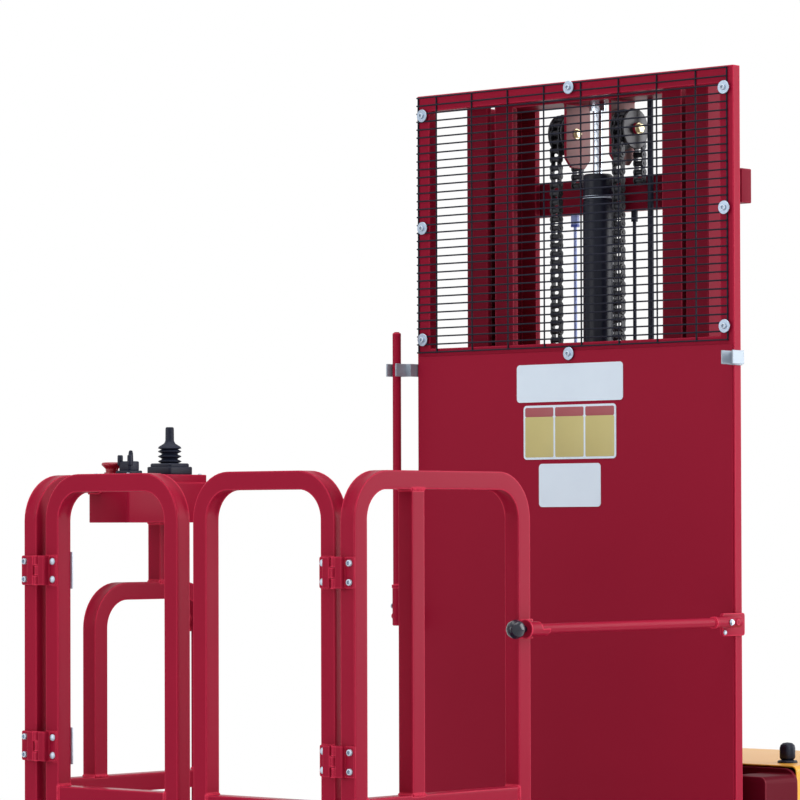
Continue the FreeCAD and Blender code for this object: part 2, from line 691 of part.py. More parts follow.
# Swing gates with the moving halves of their spring hinges; the fixed halves sit on the posts
gate_out = side_in - s.gate_gap
gate_in = s.gate_middle
gate_face = s.cage_front + s.gate_set
axis_x = side_in - s.gate_gap / 2
axis_y = s.cage_front - s.hinge_proud + s.knuckle_round
cover_face = s.cage_front - s.hinge_proud
HINGES = (("top", s.hinge_top_at), ("low", s.hinge_low_at))


def gate_parts(side):
    """The bent gate loop on the right side of the truck and its hinge halves."""
    loop = doc.addObject("PartDesign::Body", "gate_loop_" + side)
    pad(loop, "gate_tubes_" + side, "Y", gate_face, s.rail_tube, [
        span((gate_in, gate_out), (s.gate_foot, s.rail_top)),
        span((gate_in + s.rail_tube, gate_out - s.rail_tube), (s.gate_foot + s.rail_tube, rail_low)),
    ])
    rounded(loop, "gate_bends_" + side, "Y",
            [(gate_in, s.rail_top), (gate_out, s.rail_top)], s.bend_round)
    rounded(loop, "gate_bends_in_" + side, "Y",
            [(gate_in + s.rail_tube, rail_low), (gate_out - s.rail_tube, rail_low)], bend_in)
    parts = [loop]
    bores = []
    for label, low in HINGES:
        name = "gate_hinge_%s_%s" % (label, side)
        top = low + s.hinge_high
        knuckle = (low + s.hinge_knuckle + s.hinge_play, top - s.hinge_knuckle - s.hinge_play)
        parts.append(block(name + "_leaf", (axis_x - s.hinge_leaf, axis_x - s.hinge_cover),
                           (gate_face - s.hinge_flange, gate_face), (low, top)))
        parts.append(block(name + "_cover", (axis_x - s.hinge_cover, axis_x - s.hinge_slot),
                           (cover_face, gate_face), (low, top)))
        parts.append(block(name + "_bridge", (axis_x - s.hinge_slot, axis_x),
                           (axis_y - s.knuckle_round, axis_y + s.knuckle_round), knuckle))
        parts.append(round_bar(name + "_knuckle", "Z", (axis_x, axis_y, knuckle[0]),
                               s.knuckle_round, knuckle[1] - knuckle[0]))
        bores.append(round_bar(name + "_bore", "Z", (axis_x, axis_y, low), s.hinge_bore, s.hinge_high))
    return cut("gate_" + side, fuse("gate_solid_" + side, parts), bores)


gate_right = gate_parts("right")
keep("gate_right", gate_right)
keep("gate_left", mirrored("gate_left", gate_right))

hinge_parts = []
for label, low in HINGES:
    top = low + s.hinge_high
    name = "post_hinge_" + label
    flange = block(name + "_flange", (axis_x + s.hinge_cover, axis_x + s.hinge_outer),
                   (s.cage_front - s.hinge_flange, s.cage_front), (low, top))
    cover = block(name + "_cover", (axis_x + s.hinge_slot, axis_x + s.hinge_cover),
                  (cover_face, s.cage_front), (low, top))
    pin = round_bar(name + "_pin", "Z", (axis_x, axis_y, low), s.hinge_pin, s.hinge_high)
    knuckles = [flange, cover, pin]
    for end, start in (("foot", low), ("head", top - s.hinge_knuckle)):
        stretch = (start, start + s.hinge_knuckle)
        knuckles.append(block(name + "_bridge_" + end, (axis_x, axis_x + s.hinge_slot),
                              (cover_face, axis_y + s.knuckle_round), stretch))
        knuckles.append(round_bar(name + "_knuckle_" + end, "Z", (axis_x, axis_y, start),
                                  s.knuckle_round, s.hinge_knuckle))
    hinge_parts.append(fuse(name, knuckles))
hinge_side = doc.addObject("Part::Compound", "post_hinges_right")
hinge_side.Links = hinge_parts
keep("gate_hinges", both_sides("gate_hinges", hinge_side))

# Mast guard: tube frame, welded mesh and back sheet with its blank plates
hole_half = guard_half - s.rail_tube
body = doc.addObject("PartDesign::Body", "guard_frame")
half_tube = s.rail_tube / 2
guard_outlines = [span((-guard_half, guard_half), (s.guard_foot, s.guard_top))]
for low, top in (
    (s.guard_foot + s.rail_tube, s.low_tie_at - half_tube),
    (s.low_tie_at + half_tube, s.guard_tie_at - half_tube),
    (s.guard_tie_at + half_tube, s.guard_top - s.rail_tube),
):
    guard_outlines.append(span((-hole_half, hole_half), (low, top)))
pad(body, "guard_tubes", "Y", s.plate_face, s.guard_tube, guard_outlines)
keep("guard_frame", body)

half_wire = s.mesh_wire / 2
mesh_left = s.mesh_left - guard_half
mesh_right = guard_half - s.mesh_right
mesh_start = mesh_left + s.mesh_start
mesh_gaps = int(number(s.mesh_first - s.sheet_top) / number(s.mesh_row))
mesh_low = s.mesh_first - s.mesh_row * mesh_gaps
column_gaps = int(number(mesh_right - mesh_start) / number(s.mesh_column))
upright_x = [mesh_left, mesh_right]
upright_x += [mesh_start + s.mesh_column * i for i in range(column_gaps + 1)]
upright_y = (s.plate_face - s.mesh_wire, s.plate_face)
level_y = (s.plate_face - s.mesh_wire * 2 + s.mesh_sunk, s.plate_face - s.mesh_wire + s.mesh_sunk)
wires = []
for i, x in enumerate(upright_x):
    wires.append(block("mesh_upright_%d" % i, (x - half_wire, x + half_wire), upright_y,
                       (mesh_low - half_wire, s.mesh_first + half_wire)))
for i in range(mesh_gaps + 1):
    z = s.mesh_first - s.mesh_row * i
    wires.append(block("mesh_level_%d" % i, (mesh_left - half_wire, mesh_right + half_wire), level_y,
                       (z - half_wire, z + half_wire)))
keep("guard_mesh", fuse("guard_mesh", wires))

sheet_half = guard_half - s.sheet_inset
keep("back_plate", block("back_plate", (-sheet_half, sheet_half),
                         (s.plate_face - s.plate_thick, s.plate_face), (s.sheet_foot, s.sheet_top)))


def blank_plate(name, wide, low, high):
    """A thin plate with rounded corners on the back sheet."""
    plate = doc.addObject("PartDesign::Body", name)
    half = wide / 2
    face = s.plate_face - s.plate_thick - s.label_thick
    pad(plate, name + "_blank", "Y", face, s.label_thick, [span((-half, half), (low, low + high))])
    corners = [(-half, low), (half, low), (-half, low + high), (half, low + high)]
    rounded(plate, name + "_corners", "Y", corners, s.label_round)
    return plate


white = doc.addObject("Part::Compound", "blank_plates_white")
white.Links = [
    blank_plate("blank_plate_one", s.label_one_wide, s.label_one_low, s.label_one_high),
    blank_plate("blank_plate_three", s.label_three_wide, s.label_three_low, s.label_three_high),
]
keep("blank_plates_white", white)
keep("blank_plate_yellow", blank_plate("blank_plate_yellow", s.label_two_wide, s.label_two_low,
                                       s.label_two_high))

# Console box with joystick, travel switch and stop button
body = doc.addObject("PartDesign::Body", "console_box")
console_right = console_left + s.console_wide
console_back = s.console_front + s.console_deep
pad(body, "console_case", "Z", s.console_foot, s.console_top - s.console_foot,
    [span((console_left, console_right), (s.console_front, console_back))])
rounded(body, "console_edges", "Z", [
    (console_left, s.console_front), (console_right, s.console_front),
    (console_left, console_back), (console_right, console_back),
], s.console_round)
keep("console_box", body)


def square_step(name, x, y, half, low, high, radius):
    """A low square block with round corners about a middle."""
    step = doc.addObject("PartDesign::Body", name)
    u, v = (x - half, x + half), (y - half, y + half)
    pad(step, name + "_block", "Z", low, high, [span(u, v)])
    rounded(step, name + "_corners", "Z", span(u, v), radius)
    return step


stick_x = console_left + s.stick_in
stick_y = s.console_front + s.stick_back
base_half = s.stick_base_wide / 2
base_top = s.console_top + s.stick_base_high
stick_foot = base_top + s.stick_step_high
profile = [(ZERO, ZERO)]
for i in range(3):
    profile.append((s.bellows_pitch * i, s.bellows_neck))
    profile.append((s.bellows_pitch * (i + 0.5), s.bellows_round))
skirt_low = s.bellows_pitch * 3
grip_low = skirt_low + s.skirt_high
profile += [
    (skirt_low, s.bellows_neck), (skirt_low + s.skirt_rise, s.skirt_round), (grip_low, s.stick_round),
    (grip_low + s.stick_high, s.stick_round), (grip_low + s.stick_high, ZERO),
]
joystick = fuse("joystick", [
    square_step("stick_base", stick_x, stick_y, base_half, s.console_top, s.stick_base_high,
                s.stick_base_round),
    square_step("stick_shoulder", stick_x, stick_y, base_half - s.stick_step, base_top,
                s.stick_step_high, s.stick_base_round),
    turned("stick", (stick_x, stick_y, stick_foot), "Z", profile),
])
switch_x = console_left + s.switch_in
switch_y = s.console_front + s.switch_back
switch_half = s.switch_wide / 2
switch_top = s.console_top + s.switch_high
switch_parts = [
    block("switch_case", (switch_x - switch_half, switch_x + switch_half),
          (switch_y - switch_half, switch_y + switch_half), (s.console_top, switch_top)),
    round_bar("switch_lever", "Z", (switch_x, switch_y, switch_top), s.lever_round, s.lever_high),
]
for label, start in (("near", switch_x - switch_half), ("far", switch_x + switch_half - s.switch_horn)):
    switch_parts.append(block("switch_horn_" + label, (start, start + s.switch_horn),
                              (switch_y - switch_half, switch_y - switch_half + s.switch_horn),
                              (switch_top, switch_top + s.switch_horn)))
controls = doc.addObject("Part::Compound", "controls")
controls.Links = [joystick, fuse("travel_switch", switch_parts)]
keep("controls", controls)
button_at = (console_left + s.button_in, s.console_front + s.button_back, s.console_top)
keep("stop_button", turned("stop_button", button_at, "Z", [
    (ZERO, ZERO), (ZERO, s.button_neck), (s.button_stalk, s.button_neck),
    (s.button_stalk + s.button_flare, s.button_round), (s.button_high - s.button_bevel, s.button_round),
    (s.button_high, s.button_crown), (s.button_high, ZERO),
]))

# Drop bars over the two side entrances, with pivots, receivers, latch knobs and parking clips
plate_in = guard_half
plate_out = guard_half + s.bracket_thick
pin_long = bar_x + s.eye_wide / 2 + s.pin_reach - plate_out
bracket_y = (s.bar_pivot_y - s.bracket_front, guard_back)
bracket_z = (s.bar_high - s.bracket_below, s.bar_high + s.bracket_above)
body = doc.addObject("PartDesign::Body", "bracket_plate")
pad(body, "bracket_sheet", "X", plate_in, s.bracket_thick, [span(bracket_y, bracket_z)])
rounded(body, "bracket_corners", "X", span(bracket_y, bracket_z), s.bracket_round)
bracket = fuse("bar_bracket_right", [
    body,
    round_bar("bracket_pin", "X", (plate_out, s.bar_pivot_y, s.bar_high), s.pin_round, pin_long),
    round_bar("bracket_pin_head", "X", (plate_out + pin_long - s.pin_head_thick, s.bar_pivot_y, s.bar_high),
              s.pin_head_round, s.pin_head_thick),
])
keep("bar_brackets", both_sides("bar_brackets", bracket))

eye_span = (bar_x - s.eye_wide / 2, bar_x + s.eye_wide / 2)
pin_hole = round_bar("eye_hole", "X", (eye_span[0] - s.eye_wide, s.bar_pivot_y, s.bar_high),
                     s.pin_round + s.pin_play, s.eye_wide * 3)
level_bar = cut("bar_right", fuse("bar_right_solid", [
    block("bar_right_eye", eye_span, (s.bar_pivot_y - s.eye_long, s.bar_pivot_y + s.eye_back),
          (s.bar_high - s.eye_high / 2, s.bar_high + s.eye_high / 2)),
    round_bar("bar_right_rod", "Y", (bar_x, s.bar_pivot_y - s.bar_length, s.bar_high),
              s.bar_round, s.bar_length - s.eye_long),
]), [pin_hole])
keep("bar_right", level_bar)
left_hole = round_bar("left_eye_hole", "X", (eye_span[0] - s.eye_wide, s.bar_pivot_y, s.bar_high),
                      s.pin_round + s.pin_play, s.eye_wide * 3)
raised_bar = cut("bar_raised", fuse("bar_raised_solid", [
    block("bar_left_eye", eye_span, (s.bar_pivot_y - s.eye_high / 2, s.bar_pivot_y + s.eye_high / 2),
          (s.bar_high - s.eye_back, s.bar_high + s.eye_long)),
    round_bar("bar_left_rod", "Z", (bar_x, s.bar_pivot_y, s.bar_high + s.eye_long),
              s.bar_round, s.bar_length - s.eye_long),
]), [left_hole])
keep("bar_left", mirrored("bar_left", raised_bar))

flange_front = s.far_post_front - s.receiver_flange
receiver_back = s.far_post_front + s.receiver_long
receiver_solid = fuse("receiver_solid", [
    block("receiver_seat", (side_out, side_out + s.receiver_pad), (s.far_post_front, far_back),
          (s.bar_high - s.receiver_pad_half, s.bar_high + s.receiver_pad_half)),
    round_bar("receiver_tube", "Y", (bar_x, s.far_post_front, s.bar_high), s.receiver_round, s.receiver_long),
    round_bar("receiver_face", "Y", (bar_x, flange_front, s.bar_high), s.receiver_pad_half,
              s.receiver_flange),
])
receiver = cut("receiver_right", receiver_solid, [
    round_bar("receiver_hole", "Y", (bar_x, s.far_post_front, s.bar_high), s.receiver_bore,
              s.receiver_long + s.cut_past),
    block("receiver_open", (side_out, bar_x + s.cut_past), (far_back, receiver_back + s.cut_past),
          (s.bar_high, s.bar_high + s.cut_past)),
])
keep("bar_receivers", both_sides("bar_receivers", receiver))

ball = doc.addObject("Part::Sphere", "knob_ball")
bind(ball, "Radius", s.knob_round)
for path, size in zip("xyz", (bar_x, flange_front - s.knob_stand, s.bar_high)):
    bind(ball, "Placement.Base." + path, size)
knob = fuse("knob_right", [
    ball, round_bar("knob_stem", "Y", (bar_x, flange_front - s.knob_stand, s.bar_high), s.knob_stem,
                    s.knob_stand),
])
keep("ball_knobs", both_sides("ball_knobs", knob))

clip_z = (s.clip_low, s.clip_low + s.clip_high)
web_front = s.bar_pivot_y + s.clip_web
prong_front = web_front - s.clip_reach
prong_in = bar_x - s.bar_round - s.clip_play
prong_out = bar_x + s.bar_round + s.clip_play
clip = fuse("clip_right", [
    block("clip_seat", (guard_half, guard_half + s.clip_thick), (web_front, guard_back), clip_z),
    block("clip_web", (guard_half, prong_out + s.clip_thick), (web_front, web_front + s.clip_thick), clip_z),
    block("clip_prong_in", (prong_in - s.clip_thick, prong_in), (prong_front, web_front), clip_z),
    block("clip_prong_out", (prong_out, prong_out + s.clip_thick), (prong_front, web_front), clip_z),
])
keep("bar_clips", both_sides("bar_clips", clip))


def channel(name, outer, flange, front, deep, low, top):
    """A right-hand upright: a channel that opens towards the middle of the mast."""
    upright = doc.addObject("PartDesign::Body", name)
    inner = outer - flange
    back = front + deep
    web = outer - s.web_thick
    pad(upright, name + "_section", "Z", low, top - low, [[
        (inner, front), (outer, front), (outer, back), (inner, back),
        (inner, back - s.flange_thick), (web, back - s.flange_thick),
        (web, front + s.flange_thick), (inner, front + s.flange_thick),
    ]])
    return upright


# Outer mast: two uprights, cross bars behind them, foot plate and the clamp of the cylinder
mast_back = s.mast_front + s.mast_deep
bar_back = mast_back + s.mast_bar_deep
bar_half = s.outer_half + s.mast_bar_over
outer_right = channel("outer_upright", s.outer_half, s.outer_flange, s.mast_front, s.mast_deep,
                      s.mast_foot + s.foot_plate, s.mast_top)
outer_parts = [outer_right, mirrored("outer_upright_twin", outer_right)]
for label, low, high in (("top", s.top_bar_low, s.top_bar_high), ("low", s.low_bar_low, s.low_bar_high)):
    outer_parts.append(block("mast_bar_" + label, (-bar_half, bar_half),
                             (mast_back, bar_back), (low, low + high)))
outer_parts.append(block("mast_foot_plate", (-s.outer_half, s.outer_half), (s.mast_front, s.bulkhead_face),
                         (s.mast_foot, s.mast_foot + s.foot_plate)))
clamp_top = s.top_bar_low + s.top_bar_high
outer_parts.append(block("barrel_clamp", (-s.clamp_half, s.clamp_half),
                         (s.ram_y + s.barrel_round, mast_back), (s.top_bar_low, clamp_top)))
keep("outer_mast", fuse("outer_mast", outer_parts))

# Inner mast: two uprights with rollers, crosshead with the pulley cheeks, and a low tie
inner_front = s.mast_front + s.inner_set
inner_deep = s.mast_deep - s.inner_set * 2
inner_right = channel("inner_upright", inner_half, s.inner_flange, inner_front, inner_deep,
                      s.inner_foot, s.inner_top)
inner_parts = [inner_right, mirrored("inner_upright_twin", inner_right)]
inner_parts.append(block("crosshead", (-inner_half, inner_half), (inner_front, inner_front + inner_deep),
                         (s.crosshead_low, s.inner_top)))
inner_web = inner_half - s.web_thick
inner_parts.append(block("inner_tie", (-inner_web, inner_web), (s.tie_front, s.tie_front + s.tie_thick),
                         (s.tie_low, s.tie_low + s.tie_high)))
roller_y = s.mast_front + s.mast_deep / 2
roller_in = s.outer_half - s.web_thick - s.mast_roller_gap - s.mast_roller_wide
for label, z in (("low", s.mast_roller_low), ("top", s.mast_roller_top)):
    roller = fuse("mast_roller_" + label, [
        round_bar("mast_roller_disc_" + label, "X", (roller_in, roller_y, z), s.mast_roller_round,
                  s.mast_roller_wide),
        round_bar("mast_roller_stub_" + label, "X", (inner_web, roller_y, z), s.mast_stub_round,
                  roller_in - inner_web + s.mast_roller_wide / 2),
    ])
    inner_parts += [roller, mirrored("mast_roller_twin_" + label, roller)]
cheek_back = s.cheek_front + s.cheek_deep
cheek = doc.addObject("PartDesign::Body", "pulley_cheek")
pad(cheek, "pulley_cheek_plate", "X", s.cheek_x, s.cheek_thick, [[
    (s.cheek_front + s.cheek_cut, s.cheek_low), (cheek_back - s.cheek_cut, s.cheek_low),
    (cheek_back, s.cheek_low + s.cheek_cut), (cheek_back, s.crosshead_low),
    (s.cheek_front, s.crosshead_low), (s.cheek_front, s.cheek_low + s.cheek_cut),
]])
pulley_out = s.pulley_x + s.pulley_wide / 2
axle = fuse("pulley_axle", [
    cheek,
    round_bar("pulley_axle_bar", "X", (s.cheek_x, s.ram_y, s.pulley_z), s.axle_round,
              pulley_out + s.axle_head_gap + s.axle_head - s.cheek_x),
    round_bar("pulley_axle_head", "X", (pulley_out + s.axle_head_gap, s.ram_y, s.pulley_z),
              s.axle_head_round, s.axle_head),
])
inner_parts += [axle, mirrored("pulley_axle_twin", axle)]
hose_seat = s.tie_low + s.tie_high
hose_half = s.hose_block / 2
hose_x = s.pulley_x + s.hose_from_pulley
inner_parts.append(block("hose_block", (hose_x - hose_half, hose_x + hose_half),
                         (s.hose_y - hose_half, s.tie_front), (s.tie_low + s.hose_block, hose_seat)))
keep("inner_mast", fuse("inner_mast", inner_parts))

half_pulley = s.pulley_wide / 2
half_groove = s.pulley_groove_wide / 2
bore = s.axle_round + s.pin_play
pulley = turned("pulley_right", (s.pulley_x, s.ram_y, s.pulley_z), "X", [
    (-half_pulley, bore), (half_pulley, bore), (half_pulley, s.pulley_round),
    (half_groove, s.pulley_round), (half_groove, s.pulley_groove),
    (-half_groove, s.pulley_groove), (-half_groove, s.pulley_round), (-half_pulley, s.pulley_round),
])
keep("chain_pulleys", both_sides("chain_pulleys", pulley))

# Lift cylinder: a bored barrel with its gland, and the rod under the crosshead
barrel_low = s.mast_foot + s.foot_plate
gland_low = s.barrel_top - s.gland_high
rod_hole = s.rod_round + s.rod_play
keep("lift_cylinder", turned("lift_cylinder", (ZERO, s.ram_y, ZERO), "Z", [
    (barrel_low, ZERO), (barrel_low, s.barrel_round), (s.ring_at, s.barrel_round),
    (s.ring_at, s.barrel_round - s.ring_proud), (s.ring_at + s.ring_high, s.barrel_round - s.ring_proud),
    (s.ring_at + s.ring_high, s.barrel_round), (s.barrel_top, s.barrel_round),
    (s.barrel_top, rod_hole), (gland_low, rod_hole), (gland_low, s.barrel_bore),
    (barrel_low + s.gland_high, s.barrel_bore), (barrel_low + s.gland_high, ZERO),
]))
keep("piston_rod", turned("piston_rod", (ZERO, s.ram_y, ZERO), "Z", [
    (s.rod_foot, ZERO), (s.rod_foot, s.rod_round), (s.crosshead_low - s.collar_high, s.rod_round),
    (s.crosshead_low - s.collar_high, s.collar_round), (s.crosshead_low, s.collar_round),
    (s.crosshead_low, ZERO),
]))

# Lift chains: link plates along a core, round the pulley and a short way down behind it
link_half = s.chain_deep / 2
run_round = s.pulley_groove + s.chain_play + link_half
front_y = s.ram_y - run_round
rear_y = s.ram_y + run_round
link_step = s.chain_pitch * 2
core_x = (s.pulley_x - s.chain_core / 2, s.pulley_x + s.chain_core / 2)
link_x = (s.pulley_x - s.chain_wide / 2, s.pulley_x + s.chain_wide / 2)
core_half = s.chain_core_deep / 2


def strand(label, y, links):
    """One straight run of chain under the pulley's middle: a core with outer link plates."""
    low = s.pulley_z - link_step * links
    core = block("chain_core_" + label, core_x, (y - core_half, y + core_half), (low, s.pulley_z))
    plates = doc.addObject("PartDesign::Body", "chain_plates_" + label)
    first = low + (link_step - s.chain_link) / 2
    pad(plates, "chain_pair_" + label, "Y", y - link_half, s.chain_deep, [
        span(pair, (first, first + s.chain_link))
        for pair in ((link_x[0], core_x[0]), (core_x[1], link_x[1]))
    ])
    row = plates.newObject("PartDesign::LinearPattern", "chain_row_" + label)
    row.Originals = [plates.Group[-2]]
    row.Direction = (plates.Group[0], ["V_Axis"])
    bind(row, "Length", link_step * (links - 1))
    bind(row, "Occurrences", links)
    plates.Tip = row
    return [core, plates]


chain_parts = strand("front", front_y, s.chain_links) + strand("rear", rear_y, s.rear_links)
wrap_out = round_bar("chain_wrap_out", "X", (link_x[0], s.ram_y, s.pulley_z),
                     run_round + link_half, s.chain_wide)
wrap_in = round_bar("chain_wrap_in", "X", (link_x[0] - s.cut_past, s.ram_y, s.pulley_z),
                    run_round - link_half, s.chain_wide + s.cut_past * 2)
wrap_low = block("chain_wrap_low", (link_x[0] - s.cut_past, link_x[1] + s.cut_past),
                 (front_y - s.cut_past, rear_y + s.cut_past),
                 (s.pulley_z - s.pulley_round - s.cut_past, s.pulley_z))
chain_parts.append(cut("chain_wrap", wrap_out, [wrap_in, wrap_low]))
keep("lift_chains", both_sides("lift_chains", fuse("lift_chain_right", chain_parts)))

# Hose on the inner mast and the sensor cable on the outer mast, each held at both ends
keep("lift_hose", round_bar("lift_hose", "Z", (hose_x, s.hose_y, hose_seat), s.hose_round,
                            s.crosshead_low - hose_seat))
cable_low = s.low_bar_low + s.low_bar_high
keep("sensor_cable", fuse("sensor_cable", [
    round_bar("cable_run", "Z", (s.cable_x, s.cable_y, cable_low), s.cable_round,
              s.top_bar_low - cable_low),
    round_bar("cable_plug", "Z", (s.cable_x, s.cable_y, s.top_bar_low - s.plug_high), s.plug_round,
              s.plug_high),
    round_bar("cable_gland", "Z", (s.cable_x, s.cable_y, cable_low), s.plug_round, s.plug_high),
]))

# Carriage: side plates with rollers in the inner uprights, cross plates on the guard frame
plate_x = (carriage_half - s.carriage_plate, carriage_half)
cross_back = guard_back + s.carriage_cross
roller_out = inner_web - s.carriage_roller_gap
carriage_parts = []
for label, z in (("low", s.carriage_roller_low), ("top", s.carriage_roller_top)):
    carriage_parts.append(round_bar("carriage_roller_" + label, "X",
                                    (roller_out - s.carriage_roller_wide, roller_y, z),
                                    s.carriage_roller_round, s.carriage_roller_wide))
    carriage_parts.append(round_bar("carriage_stub_" + label, "X", (plate_x[0], roller_y, z),
                                    s.axle_round, roller_out - plate_x[0]))
carriage_parts.append(block("carriage_side", plate_x, (guard_back, s.carriage_back),
                            (s.carriage_low, s.carriage_top)))
for label, low in (("low", s.carriage_low), ("mid", s.carriage_mid),
                   ("top", s.carriage_top - s.carriage_cross_high)):
    carriage_parts.append(block("carriage_cross_" + label, (ZERO, guard_half),
                                (guard_back, cross_back), (low, low + s.carriage_cross_high)))
for label, start in (("in", s.pulley_x - s.anchor_gap - s.anchor_ear), ("out", s.pulley_x + s.anchor_gap)):
    carriage_parts.append(block("anchor_ear_" + label, (start, start + s.anchor_ear),
                                (guard_back, front_y + link_half), (s.anchor_low, s.anchor_low + s.anchor_high)))
carriage_side = fuse("carriage_right", carriage_parts)
keep("carriage", fuse("carriage", [carriage_side, mirrored("carriage_left", carriage_side)]))

# Chassis frame: rear box with wheel arches, mast seat, side rails, front beam and castor plates
base_parts = []
rear_box = doc.addObject("PartDesign::Body", "rear_box")
pad(rear_box, "rear_box_block", "Z", s.base_low, s.base_top - s.base_low,
    [span((-s.base_half, s.base_half), (s.bulkhead_face, s.truck_rear))])
rounded(rear_box, "rear_box_corners", "Z", [(-s.base_half, s.truck_rear), (s.base_half, s.truck_rear)],
        s.base_round)
arch_half = s.drive_round + s.arch_room
drive_x = s.base_half - s.drive_set
arch_in = drive_x - s.drive_wide / 2 - s.arch_side
arches = []
for label, x in (("left", (-s.base_half - s.cut_past, -arch_in)),
                 ("right", (arch_in, s.base_half + s.cut_past))):
    arches.append(block("arch_" + label, x, (s.drive_y - arch_half, s.drive_y + arch_half),
                        (ZERO, s.drive_round * 2 + s.arch_room)))
base_parts.append(cut("rear_box_arched", rear_box, arches))
base_parts.append(block("mast_seat", (-seat_half, seat_half),
                        (s.seat_front, s.bulkhead_face), (s.seat_low, s.mast_foot)))
rail_top = s.side_rail_low + s.side_rail_high
for label, side in (("left", -1), ("right", 1)):
    rail = (rail_in, rail_out)
    seat = (seat_half - s.seat_cheek, seat_half)
    if side < 0:
        rail = (-rail_out, -rail_in)
        seat = (-seat_half, s.seat_cheek - seat_half)
    base_parts.append(block("side_rail_" + label, rail, (s.truck_front + s.front_beam_deep, s.side_rail_rear),
                            (s.side_rail_low, rail_top)))
    base_parts.append(block("seat_cheek_" + label, seat, (s.seat_cheek_front, s.bulkhead_face),
                            (s.seat_low, rail_top)))
    half_plate = s.castor_plate_long / 2
    base_parts.append(block("castor_plate_" + label, rail,
                            (s.castor_y - half_plate, s.castor_y + half_plate),
                            (s.side_rail_low - s.castor_plate, s.side_rail_low)))
base_parts.append(block("front_beam", (-rail_out - s.front_beam_over, rail_out + s.front_beam_over),
                        (s.truck_front, s.truck_front + s.front_beam_deep), (s.side_rail_low, rail_top)))
lug_x = rail_in + s.lug_in
for label, x in (("left", -lug_x), ("right", lug_x - s.lug_thick)):
    base_parts.append(block("tie_lug_" + label, (x, x + s.lug_thick),
                            (s.truck_front + s.front_beam_deep, s.truck_front + s.front_beam_deep + s.lug_long),
                            (s.side_rail_low - s.lug_high, s.side_rail_low)))
holes = []
for side in (-1, 1):
    for sx in (-0.5, 0.5):
        for sy in (-0.5, 0.5):
            holes.append(round_bar("castor_hole_%d_%d_%d" % (side + 1, sx * 2 + 1, sy * 2 + 1), "Z",
                                   (castor_x * side + s.castor_hole_x * sx,
                                    s.castor_y + s.castor_hole_y * sy,
                                    s.side_rail_low - s.castor_plate - s.cut_past),
                                   s.castor_hole, s.castor_plate * 2 + s.cut_past))
    holes.append(round_bar("lug_hole_%d" % (side + 1), "X",
                           (lug_x * side - s.cut_past,
                            s.truck_front + s.front_beam_deep + s.lug_long / 2,
                            s.side_rail_low - s.lug_hole_down),
                           s.lug_hole, s.cut_past * 2))
keep("base_frame", cut("base_frame", fuse("base_frame_solid", base_parts), holes))

# Bulkhead with the two boxes beside the mast
body = doc.addObject("PartDesign::Body", "bulkhead_panel")
pad(body, "bulkhead_sheet", "Y", s.bulkhead_face, s.bulkhead_thick,
    [span((-bulkhead_half, bulkhead_half), (s.base_top, s.bulkhead_top))])
rounded(body, "bulkhead_corners", "Y",
        [(-bulkhead_half, s.bulkhead_top), (bulkhead_half, s.bulkhead_top)], s.bulkhead_round)
side_box = doc.addObject("PartDesign::Body", "side_box")
box_in = s.outer_half + s.side_box_gap
box_top = s.bulkhead_top - s.side_box_drop
pad(side_box, "side_box_case", "Y", s.side_box_front, s.bulkhead_face - s.side_box_front,
    [span((box_in, bulkhead_half), (s.side_box_low, box_top))])
rounded(side_box, "side_box_corners", "Y",
        [(box_in, box_top), (bulkhead_half, box_top)], s.side_box_round)
keep("bulkhead", fuse("bulkhead", [body, side_box, mirrored("side_box_twin", side_box)]))

# Power unit hood, its filler cap and the battery inside
body = doc.addObject("PartDesign::Body", "hood_shell")
hood_front = s.bulkhead_face + s.bulkhead_thick
hood_rear = s.truck_rear - s.hood_rear_set
room_half = hood_half - s.hood_wall
room_rear = hood_rear - s.hood_wall
room_top = hood_top - s.hood_wall
pad(body, "hood_block", "Z", s.base_top, hood_top - s.base_top,
    [span((-hood_half, hood_half), (hood_front, hood_rear))])
room_sketch = new_sketch(body, "hood_room_outline", "Z", s.base_top)
outline(room_sketch, span((-room_half, room_half), (hood_front, room_rear)))
room = body.newObject("PartDesign::Pocket", "hood_room")
room.Profile = room_sketch
room.Reversed = True
bind(room, "Length", room_top - s.base_top)
rounded(body, "hood_room_corners", "Z", [(-room_half, room_rear), (room_half, room_rear)],
        s.hood_round - s.hood_wall)
rounded(body, "hood_corners", "Z", [(-hood_half, hood_rear), (hood_half, hood_rear)], s.hood_round)
rounded(body, "hood_room_edge", "X", [(room_rear, room_top)], s.hood_edge - s.hood_wall)
rounded(body, "hood_top_edge", "X", [(hood_rear, hood_top)], s.hood_edge)
vents = []
for i in range(int(s.vents.value)):
    low = s.vent_low + s.vent_pitch * i
    vents.append(block("vent_%d" % i, (-hood_half - s.cut_past, hood_half + s.cut_past),
                       (s.vent_front, s.vent_front + s.vent_long), (low, low + s.vent_high)))
keep("power_hood", cut("power_hood", body, vents))
cap_at = (hood_half - s.cap_in, s.bulkhead_face + s.cap_back, hood_top)
keep("filler_cap", turned("filler_cap", cap_at, "Z", [
    (ZERO, ZERO), (ZERO, s.cap_flange_round), (s.cap_flange, s.cap_flange_round),
    (s.cap_flange, s.cap_neck), (s.cap_flange * 2, s.cap_round),
    (s.cap_high, s.cap_round), (s.cap_high + s.cap_flange, s.cap_crown),
    (s.cap_high + s.cap_flange, ZERO),
]))
keep("battery_block", block("battery_block", (-s.battery_half, s.battery_half),
                            (s.battery_front, s.battery_front + s.battery_long),
                            (s.base_top, s.base_top + s.battery_high)))

